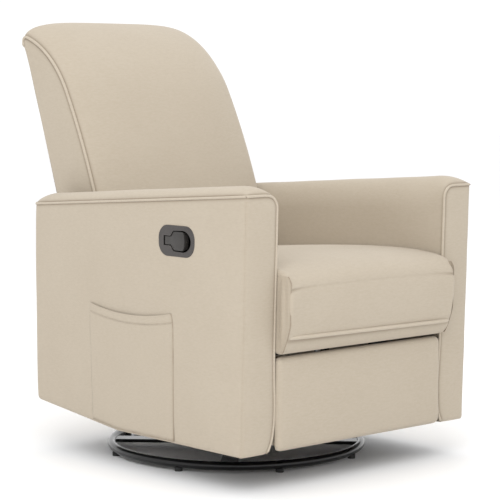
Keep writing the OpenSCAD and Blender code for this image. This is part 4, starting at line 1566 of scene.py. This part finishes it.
@dataclass
class Backrest(SubAssembly):
    """Back cushion, side panels and rear panel, with the piping between them."""

    lean: float = math.radians(19.7)
    heading: float = math.radians(20.0)
    straight: float = 295 * MM
    slow_radius: float = 1.600
    slow_turn: float = math.radians(9.0)
    end_heading: float = math.radians(71.5)
    front_foot: tuple[float, float] = (119 * MM, 345 * MM)
    rear_foot: tuple[float, float] = (275 * MM, 345 * MM)
    crown: float = 44 * MM
    seat_gap: float = 469 * MM
    welt: float = 3.7 * MM
    shrink: float = 4 * MM
    lower_face: float = 0.1605

    def __post_init__(self) -> None:
        """Takes the backrest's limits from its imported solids."""
        low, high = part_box("back_side_panels")
        self.half = high.x - 0.5 * MM
        self.low_z = low.z
        self.top = high.z
        self.head_z = self.top - 17 * MM
        self.head_y = self.rear_foot[0] + (self.head_z - self.rear_foot[1]) * math.tan(self.lean)
        rise = self.top + 0.25 * MM - 850.7 * MM
        fast = self.heading + self.slow_turn
        self.quick_radius = rise / (math.sin(self.end_heading) - math.sin(fast))

    def front_line(self, out: float, count: int = 96) -> np.ndarray:
        """Front and top of the back, [y, z], from its foot to the rear edge, moved out by a distance.

        Args:
            out: how far it stands out from the welt line.
            count: how many points.

        Returns:
            The line, evenly spaced.
        """
        h0, h1, h2 = self.heading, self.heading + self.slow_turn, self.end_heading
        start = np.array(self.front_foot) - out * np.array([math.cos(h0), -math.sin(h0)])
        knee = start + self.straight * np.array([math.sin(h0), math.cos(h0)])
        points = [start, knee]
        for a, b, radius in ((h0, h1, self.slow_radius + out), (h1, h2, self.quick_radius + out)):
            base = points[-1]
            for h in np.linspace(a, b, 25)[1:]:
                step = np.array([math.cos(a) - math.cos(h), math.sin(h) - math.sin(a)])
                points.append(base + radius * step)
        p, head = points[-1], np.array([self.head_y, self.head_z])
        slope = math.tan(self.lean)
        reach = (head[0] - p[0] + (p[1] - head[1]) * slope) / (math.sin(h2) - math.cos(h2) * slope)
        corner = p + reach * np.array([math.sin(h2), math.cos(h2)])
        for t in np.linspace(0, 1, 13)[1:]:
            points.append((1 - t) ** 2 * p + 2 * t * (1 - t) * corner + t * t * head)
        line = np.array(points)
        z0 = self.seat_gap + 12 * MM
        first = line[0] + (line[1] - line[0]) * (z0 - line[0, 1]) / (line[1, 1] - line[0, 1])
        return respace(np.vstack([first, line[1:]]), count)

    def rear_line(self, z: np.ndarray, inset: float = 0.0) -> np.ndarray:
        """Y of the rear face at height z."""
        return self.rear_foot[0] + (z - self.rear_foot[1]) * math.tan(self.lean) - inset

    def ring(self, out: float, head_out: float) -> np.ndarray:
        """One closed section of the back cushion.

        Args:
            out: how far the front stands out from the welt line.
            head_out: how far the head does.

        Returns:
            Points [y, z].
        """
        front, head = self.front_line(out), self.front_line(head_out)
        share = ease((np.linspace(0, 1, len(front)) - 0.68) / 0.2)[:, None]
        front = front * (1 - share) + head * share
        z = np.linspace(self.head_z - 4 * MM, 0.362, 46)
        rear = np.column_stack([self.rear_line(z, 7 * MM), z])
        foot = smooth_line([
            (0.255, 0.358), (0.200, 0.358), (0.163, 0.364),
            (self.lower_face, 0.400), (self.lower_face, 0.455),
            (0.158, self.seat_gap - 0.5 * MM), (front[0, 0] + 14 * MM, self.seat_gap),
            (front[0, 0] + 3 * MM, self.seat_gap + 5 * MM),
        ], 9 * MM)
        foot = respace(foot, 34)
        return np.vstack([front, rear, foot])

    def build(self) -> None:
        """Makes and fits the backrest's pieces."""
        share = np.linspace(-1, 1, 71)
        across = np.sin(share * np.pi / 2) * 0.72 + share * 0.28
        rings = []
        for u in across:
            out = self.crown * math.sqrt(max(1 - abs(u) ** 3, 0.0))
            out = max(out - self.shrink * (1 - abs(u) ** 8), 0.0)
            head = self.crown * math.sqrt(max(1 - abs(u) ** 4.6, 0.0))
            head = max(head - self.shrink * (1 - abs(u) ** 8), 0.0)
            ring = self.ring(out * 0.93, head)
            rings.append(np.column_stack([np.full(len(ring), u * (self.half - 1.5 * MM)), ring]))
        cushion = loft("back_cushion_cloth", np.array(rings), self.finishes.cloth)
        places = coords_of(cushion)
        behind = self.rear_line(places[:, 2], 12 * MM) < places[:, 1]
        held = np.maximum.reduce([
            ease((np.abs(places[:, 0]) - self.half + 22 * MM) / (14 * MM)),
            ease((self.seat_gap + 30 * MM - places[:, 2]) / (22 * MM)),
            behind.astype(float),
            ease((places[:, 1] - self.head_y + 32 * MM) / (22 * MM)),
        ])
        Filling(pressure=3.0, most=8 * MM).puff(cushion, held)
        welts = {side: self.side_welt(side) for side in Side}
        near = [near_line(line, 2.4 * MM, self.welt) for line in welts.values()]
        mark_seam_shade(cushion, lambda points: np.maximum(near[0](points), near[1](points)))
        self.fit(cushion, Body.BACK, "cream_cloth", ["back_cushion"], 0.8)
        for side in Side:
            self.side_panel(side)
        self.rear_panel()
        self.piping(welts)

    def side_welt(self, side: Side) -> np.ndarray:
        """Centreline of the piping on one side, from the foot to the rear top corner."""
        line = self.front_line(0.4 * MM, 120)
        x = np.full(len(line), (self.half - 1.6 * MM) * side.value)
        return np.column_stack([x, line])

    def piping(self, welts: dict[Side, np.ndarray]) -> None:
        """Side piping with a folded knob at each rear top corner, and the piping between the knobs.

        Args:
            welts: the piping's line on each side.
        """
        right, left = welts[Side.RIGHT], welts[Side.LEFT]
        x = np.linspace(-self.half + 8 * MM, self.half - 8 * MM, 90)
        dip = 1.2 * MM * (1 - (x / self.half) ** 2)
        across = np.column_stack([
            x, np.full_like(x, self.head_y + 0.6 * MM), self.head_z + 1.5 * MM + dip])
        line = np.vstack([right, across, left[::-1]])
        line = respace(line, int(length_of(line) / (4 * MM)))
        radius = np.full(len(line), self.welt)
        for side in Side:
            knob = welts[side][-1]
            gap = np.linalg.norm(line - knob, axis=1)
            radius += 2.0 * MM * np.exp(-((gap / (6 * MM)) ** 2))
        self.fit(tube("back_piping", line, radius, self.finishes.piping, 14), Body.BACK, "cream_cloth")

    def side_panel(self, side: Side) -> None:
        """Flat boxing between the front piping and the rear edge.

        Args:
            side: which side.
        """
        front = self.front_line(-0.5 * MM, 84)
        lower_z = np.linspace(self.low_z + 2 * MM, self.seat_gap, 12)
        lower = np.column_stack([np.full(12, self.lower_face), lower_z])
        front = np.vstack([lower, front])
        run = np.concatenate([[0], np.cumsum(np.linalg.norm(np.diff(front, axis=0), axis=1))])
        share = run / run[-1]
        z = self.low_z + 2 * MM + (self.head_z - self.low_z - 2 * MM) * share
        rear = np.column_stack([self.rear_line(z, 1.5 * MM), z])
        f = crowded(30, 0.6)
        grid = front[:, None, :] + (rear - front)[:, None, :] * f[None, :, None]
        width = np.linalg.norm(rear - front, axis=1)[:, None]
        gap = np.minimum(f, 1 - f)[None, :] * width
        above = ease((grid[..., 1] - 0.60) / (80 * MM))
        off = puffed(gap, 0.3 * MM + 2.2 * MM * above, 16 * MM) - tucked(gap, 2.2 * MM, 6 * MM)
        x = np.full(grid.shape[:2], self.half) + off
        full = np.stack([x * side.value, grid[..., 0], grid[..., 1]], 2)
        full[..., 0] += Ripple(71 + side.value, 0.13, 0.3 * MM).at(full)
        name = f"back_side_cloth_{side.name.lower()}"
        piece = slab(name, full, 5 * MM, self.finishes.cloth, (0.0, 0.3, 0.65))
        near_front = near_line(full[:, 0], 2.4 * MM, self.welt)
        near_rear = near_line(full[:, -1], 2.0 * MM)
        mark_seam_shade(piece, lambda points: np.maximum(near_front(points), 0.7 * near_rear(points)))
        stands_for = ["back_side_panels"] if side is Side.LEFT else []
        self.fit(piece, Body.BACK, "cream_cloth", stands_for, 0.3)

    def rear_panel(self) -> None:
        """Rear cover, pulled tight between the side seams."""
        foot = 0.357
        z = self.head_z - (self.head_z - foot) * crowded(76, 0.4)
        u = crowded(60, 0.5) * 2 - 1
        across = self.half - 1.0 * MM
        x = u * across
        xx, zz = np.meshgrid(x, z)
        gap = np.minimum(across - np.abs(xx), np.minimum(self.head_z - zz, zz - foot))
        off = puffed(gap, 3.2 * MM, 30 * MM) - tucked(gap, 2.4 * MM, 6 * MM)
        grid = np.stack([xx, self.rear_line(zz) + off, zz - off * math.tan(self.lean)], 2)
        grid[..., 1] += Ripple(83, 0.18, 0.5 * MM).at(grid)
        piece = slab("back_rear_cloth", grid, 5 * MM, self.finishes.cloth, (0.0, 0.2, 0.7))
        sides = [near_line(grid[:, end], 2.4 * MM) for end in (0, -1)]
        edges = [*sides, near_line(grid[0], 3 * MM)]
        mark_seam_shade(piece, lambda points: np.maximum.reduce([edge(points) for edge in edges]))
        self.fit(piece, Body.BACK, "cream_cloth", ["back_rear_panel"], 0.2)


@dataclass
class LowerCovers(SubAssembly):
    """The seat's rear cover, the spring deck's fibre pad and the leg rest's pad."""

    def rear_cover(self) -> None:
        """Cloth panel across the seat's back, between the arms."""
        low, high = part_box("rear_panel")
        x = low.x + (high.x - low.x) * crowded(64, 0.4)
        z = high.z - (high.z - low.z) * crowded(30, 0.4)
        xx, zz = np.meshgrid(x, z)
        gap = np.minimum(np.minimum(xx - low.x, high.x - xx), np.minimum(high.z - zz, zz - low.z))
        off = puffed(gap, 2.0 * MM, 20 * MM) - tucked(gap, 5 * MM, 8 * MM)
        grid = np.stack([xx, np.full_like(xx, high.y - 2 * MM) + off, zz], 2)
        grid[..., 1] += Ripple(91, 0.12, 0.5 * MM).at(grid)
        piece = slab("rear_cover_cloth", grid, 12 * MM, self.finishes.cloth, (0.0, 0.0, 0.2))
        mark_seam_shade(piece, near_line(np.vstack([grid[0], grid[:, -1]]), 2.5 * MM))
        self.fit(piece, Body.SEAT, "cream_cloth", ["rear_panel"], 0.3)

    def deck(self) -> None:
        """Fibre pad that keeps the cushion off the springs, dented where each spring runs."""
        low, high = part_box("deck_pad")
        x = np.linspace(low.x, high.x, 64)
        y = np.linspace(low.y, high.y, 68)
        xx, yy = np.meshgrid(x, y)
        springs = (-0.18, -0.09, 0.0, 0.09, 0.18)
        dents = sum(0.5 * MM * np.exp(-(((xx - c) / (17 * MM)) ** 2)) for c in springs)
        grid = np.stack([xx, yy, np.full_like(xx, high.z) - dents], 2)
        grid[..., 2] += Ripple(97, 0.07, 0.25 * MM).at(grid) - 0.4 * MM
        piece = slab("spring_deck_fibre", grid, 3 * MM, self.finishes.felt, (0.0, 0.0, 0.2))
        self.fit(piece, Body.SEAT, "deck_felt", ["deck_pad"], 0.2)

    def leg_pad(self) -> None:
        """Padded front of the leg rest, with round corners and a soft edge."""
        low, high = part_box("footboard_pad")
        corner, soft = 16 * MM, 15 * MM
        half, middle, tall = high.x, (low.z + high.z) / 2, (high.z - low.z) / 2
        u = crowded(74, 0.5) * 2 - 1
        v = crowded(36, 0.5) * 2 - 1
        uu, vv = np.meshgrid(u, v)
        xx, zz = uu * half, vv * tall
        over_x = np.clip(np.abs(xx) - (half - corner), 0, corner) / corner
        over_z = np.clip(np.abs(zz) - (tall - corner), 0, corner) / corner
        size = np.hypot(over_x, over_z)
        shrink = np.where(size > 1e-9, np.maximum(over_x, over_z) / np.maximum(size, 1e-9), 1.0)
        xx = np.sign(xx) * (np.abs(xx) - corner * over_x * (1 - shrink))
        zz = np.sign(zz) * (np.abs(zz) - corner * over_z * (1 - shrink))
        gap = np.minimum(half - np.abs(uu * half), tall - np.abs(vv * tall))
        dome = swell(gap / soft)
        belly = 3.0 * MM * (1 - uu**4) * (1 - vv**4)
        y = low.y + 14 * MM - 13.5 * MM * dome - belly + 2.0 * MM
        grid = np.stack([xx, y, zz + middle], 2)
        piece = slab("leg_rest_pad_cloth", grid, 14 * MM, self.finishes.cloth, (0.0, 0.0, 0.2))
        places = coords_of(piece)
        held = np.maximum.reduce([
            ease((places[:, 1] - low.y - 9 * MM) / (6 * MM)),
            ease((np.abs(places[:, 0]) - half + 22 * MM) / (16 * MM)),
            ease((np.abs(places[:, 2] - middle) - tall + 20 * MM) / (14 * MM)),
        ])
        Filling(pressure=2.5, most=4 * MM).puff(piece, held)
        self.fit(piece, Body.FOOTBOARD, "cream_cloth", ["footboard_pad"], 0.7)

    def apron(self, name: str, line: Sequence[Sequence[float]], start: float, bow: float) -> None:
        """A strip of cloth that runs from the seat to the backrest, where it is sewn along each edge; it
        is attached to neither body.

        Args:
            name: the piece's name.
            line: its run from the seat to the back, [y, z].
            start: share of the run that stays with the seat; not used.
            bow: how far its middle hangs down.
        """
        half = 0.248
        run = smooth_line(line, 3 * MM)
        u = np.linspace(-1, 1, 60)
        share = np.linspace(0, 1, len(run))
        rows = []
        for (y, z), t in zip(run, share):
            sag = bow * math.sin(math.pi * t)
            rows.append(np.column_stack([u * half, np.full_like(u, y), z - sag * (1 - u**4)]))
        grid = np.array(rows)
        grid[..., 2] += Ripple(101, 0.06, 0.4 * MM).at(grid) * np.sin(np.pi * share)[:, None]
        piece = slab(name, grid, 1.4 * MM, self.finishes.cloth, (0.0, 0.22, 0.1))
        mark_seam_shade(piece, near_line(np.vstack([grid[0], grid[-1]]), 2.0 * MM))
        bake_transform(piece)
        log.info("%s joins seat and backrest", name)

    def build(self) -> None:
        """Makes and fits the covers."""
        self.rear_cover()
        self.deck()
        self.leg_pad()
        self.leg_back()
        behind = [(0.3075, 0.318), (0.300, 0.330), (0.292, 0.345), (0.282, 0.360)]
        between = [(0.1572, 0.392), (0.1574, 0.425), (0.1576, 0.458)]
        self.apron("rear_apron_cloth", behind, 0.0, 2 * MM)
        self.apron("inner_apron_cloth", between, 0.45, 0.0)

    def leg_back(self) -> None:
        """Cloth stretched over the leg rest's board behind its pad."""
        low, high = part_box("footboard_core")
        margin = 3.5 * MM
        rim = round_rectangle(high.x - low.x + 2 * margin, high.z - low.z + 2 * margin, 9 * MM, 6)
        middle = (low.z + high.z) / 2
        rings = []
        front, rear, hem = low.y - 1.5 * MM, high.y + 0.2 * MM, high.y + 1.6 * MM
        for y, grow in ((front, 0.0), (rear, 0.0), (hem, -2.0 * MM)):
            scale = 1 + grow / (high.z - low.z) * 2
            rings.append(np.column_stack([rim[:, 0] * (1 + grow / high.x), np.full(len(rim), y),
                                          middle + rim[:, 1] * scale]))
        piece = loft("leg_rest_back_cloth", np.array(rings), self.finishes.cloth, 40.0)
        mark_seam_shade(piece, near_line(np.vstack([rings[2], rings[2][:1]]), 2.5 * MM))
        self.fit(piece, Body.FOOTBOARD, "cream_cloth", ["footboard_core"], 0.1)


@dataclass
class Mechanism(SubAssembly):
    """The frame, linkages, springs and fittings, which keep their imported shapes."""

    def build(self) -> None:
        """Gives each remaining node its finish."""
        f = self.finishes
        groups: dict[bpy.types.Material, Sequence[str]] = {
            f.gloss: ["base_ring", "base_cross_bars"],
            f.rubber: ["base_feet"],
            f.bearing: ["lower_race", "swivel_hub"],
            f.zinc: ["upper_glide_pins", "lower_glide_pins", "arm_bolts", "recline_pins", "legrest_pins",
                     "handle_pin"],
            f.spring: ["seat_springs", "back_springs", "handle_spring", "post_circlip"],
            f.timber: ["front_rail", "rear_rail", "seat_side_rails", "back_cross_rails"],
            f.timber_upright: ["arm_frame_right", "arm_frame_left", "back_posts"],
            f.sheath: ["release_cable"],
        }
        finish_of = {name: finish for finish, names in groups.items() for name in names}
        for name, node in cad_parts.items():
            if node.hide_render:
                continue
            node.data.materials.clear()
            node.data.materials.append(finish_of.get(name, f.frame))
            log.info("%s keeps its shape, in %s", name, finish_of.get(name, f.frame).name)


@dataclass
class Studio:
    """Pale floor, soft lights and the camera."""

    floor_radius: float = 26.0
    place: tuple[float, float, float] = (-2.8844, -3.2502, 0.877)
    tilt: float = math.radians(90.0 - 5.284)
    turn: float = math.radians(-42.02)
    lens: float = 132.2

    def floor(self) -> None:
        """A wide pale floor with a faint mottle."""
        graph = Graph("studio_floor")
        mottle = graph.noise(1.2, 3.0)
        finish = graph.finish(
            base_color=graph.blend(mottle, (0.955, 0.955, 0.958), (0.965, 0.965, 0.965)),
            roughness=0.75 + mottle * 0.1,
            specular_ior_level=0.2,
        )
        angle = np.linspace(0, 2 * np.pi, 96, endpoint=False)
        rim = np.column_stack([np.cos(angle), np.sin(angle), np.zeros(96)]) * self.floor_radius
        made = make_mesh("studio_floor", rim, [list(range(96))], finish)
        if made.data.polygons[0].normal.z < 0:
            made.data.flip_normals()

    def light(self, name: str, place: Sequence[float], size: float, power: float) -> None:
        """A square soft light that faces the chair.

        Args:
            name: its name.
            place: where it hangs.
            size: its edge.
            power: in watts.
        """
        lamp = bpy.data.lights.new(name, "AREA")
        lamp.size = size
        lamp.energy = power
        made = bpy.data.objects.new(name, lamp)
        made.location = place
        aim = Vector((0.0, 0.0, 0.45)) - Vector(place)
        made.rotation_euler = aim.to_track_quat("-Z", "Y").to_euler()
        bpy.context.scene.collection.objects.link(made)

    def build(self) -> None:
        """Makes the studio."""
        scene = bpy.context.scene
        self.floor()
        world = bpy.data.worlds.new("studio_air")
        world.use_nodes = True
        world.node_tree.nodes["Background"].inputs[0].default_value = (1.0, 1.0, 1.0, 1.0)
        world.node_tree.nodes["Background"].inputs[1].default_value = 1.06
        scene.world = world
        self.light("key_light", (-2.6, -2.4, 3.0), 2.6, 64.0)
        self.light("top_light", (0.4, 0.6, 3.6), 3.0, 20.0)
        scene.view_settings.view_transform = "Standard"
        lens = bpy.data.cameras.new("studio_camera")
        lens.sensor_width = 36.0
        lens.lens = self.lens
        camera = bpy.data.objects.new("studio_camera", lens)
        camera.location = self.place
        camera.rotation_euler = (self.tilt, 0.0, self.turn)
        scene.collection.objects.link(camera)
        scene.camera = camera
        log.info("studio ready")


def corners(box: tuple[Vector, Vector]) -> list[list[float]]:
    """A box as plain lists of numbers."""
    return [list(corner) for corner in box]


def main() -> None:
    """Builds every sub-assembly in order."""
    logging.basicConfig(level=logging.INFO, format="%(message)s", stream=sys.stdout)
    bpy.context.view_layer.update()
    finishes = Finishes()
    Studio().build()
    right = Arm(finishes, side=Side.RIGHT)
    right.build()
    Arm(finishes, side=Side.LEFT).build()
    Pocket(finishes).build(right)
    Handle(finishes).build(right)
    SeatCushion(finishes).build()
    Backrest(finishes).build()
    LowerCovers(finishes).build()
    Mechanism(finishes).build()


if __name__ == "__main__":
    main()
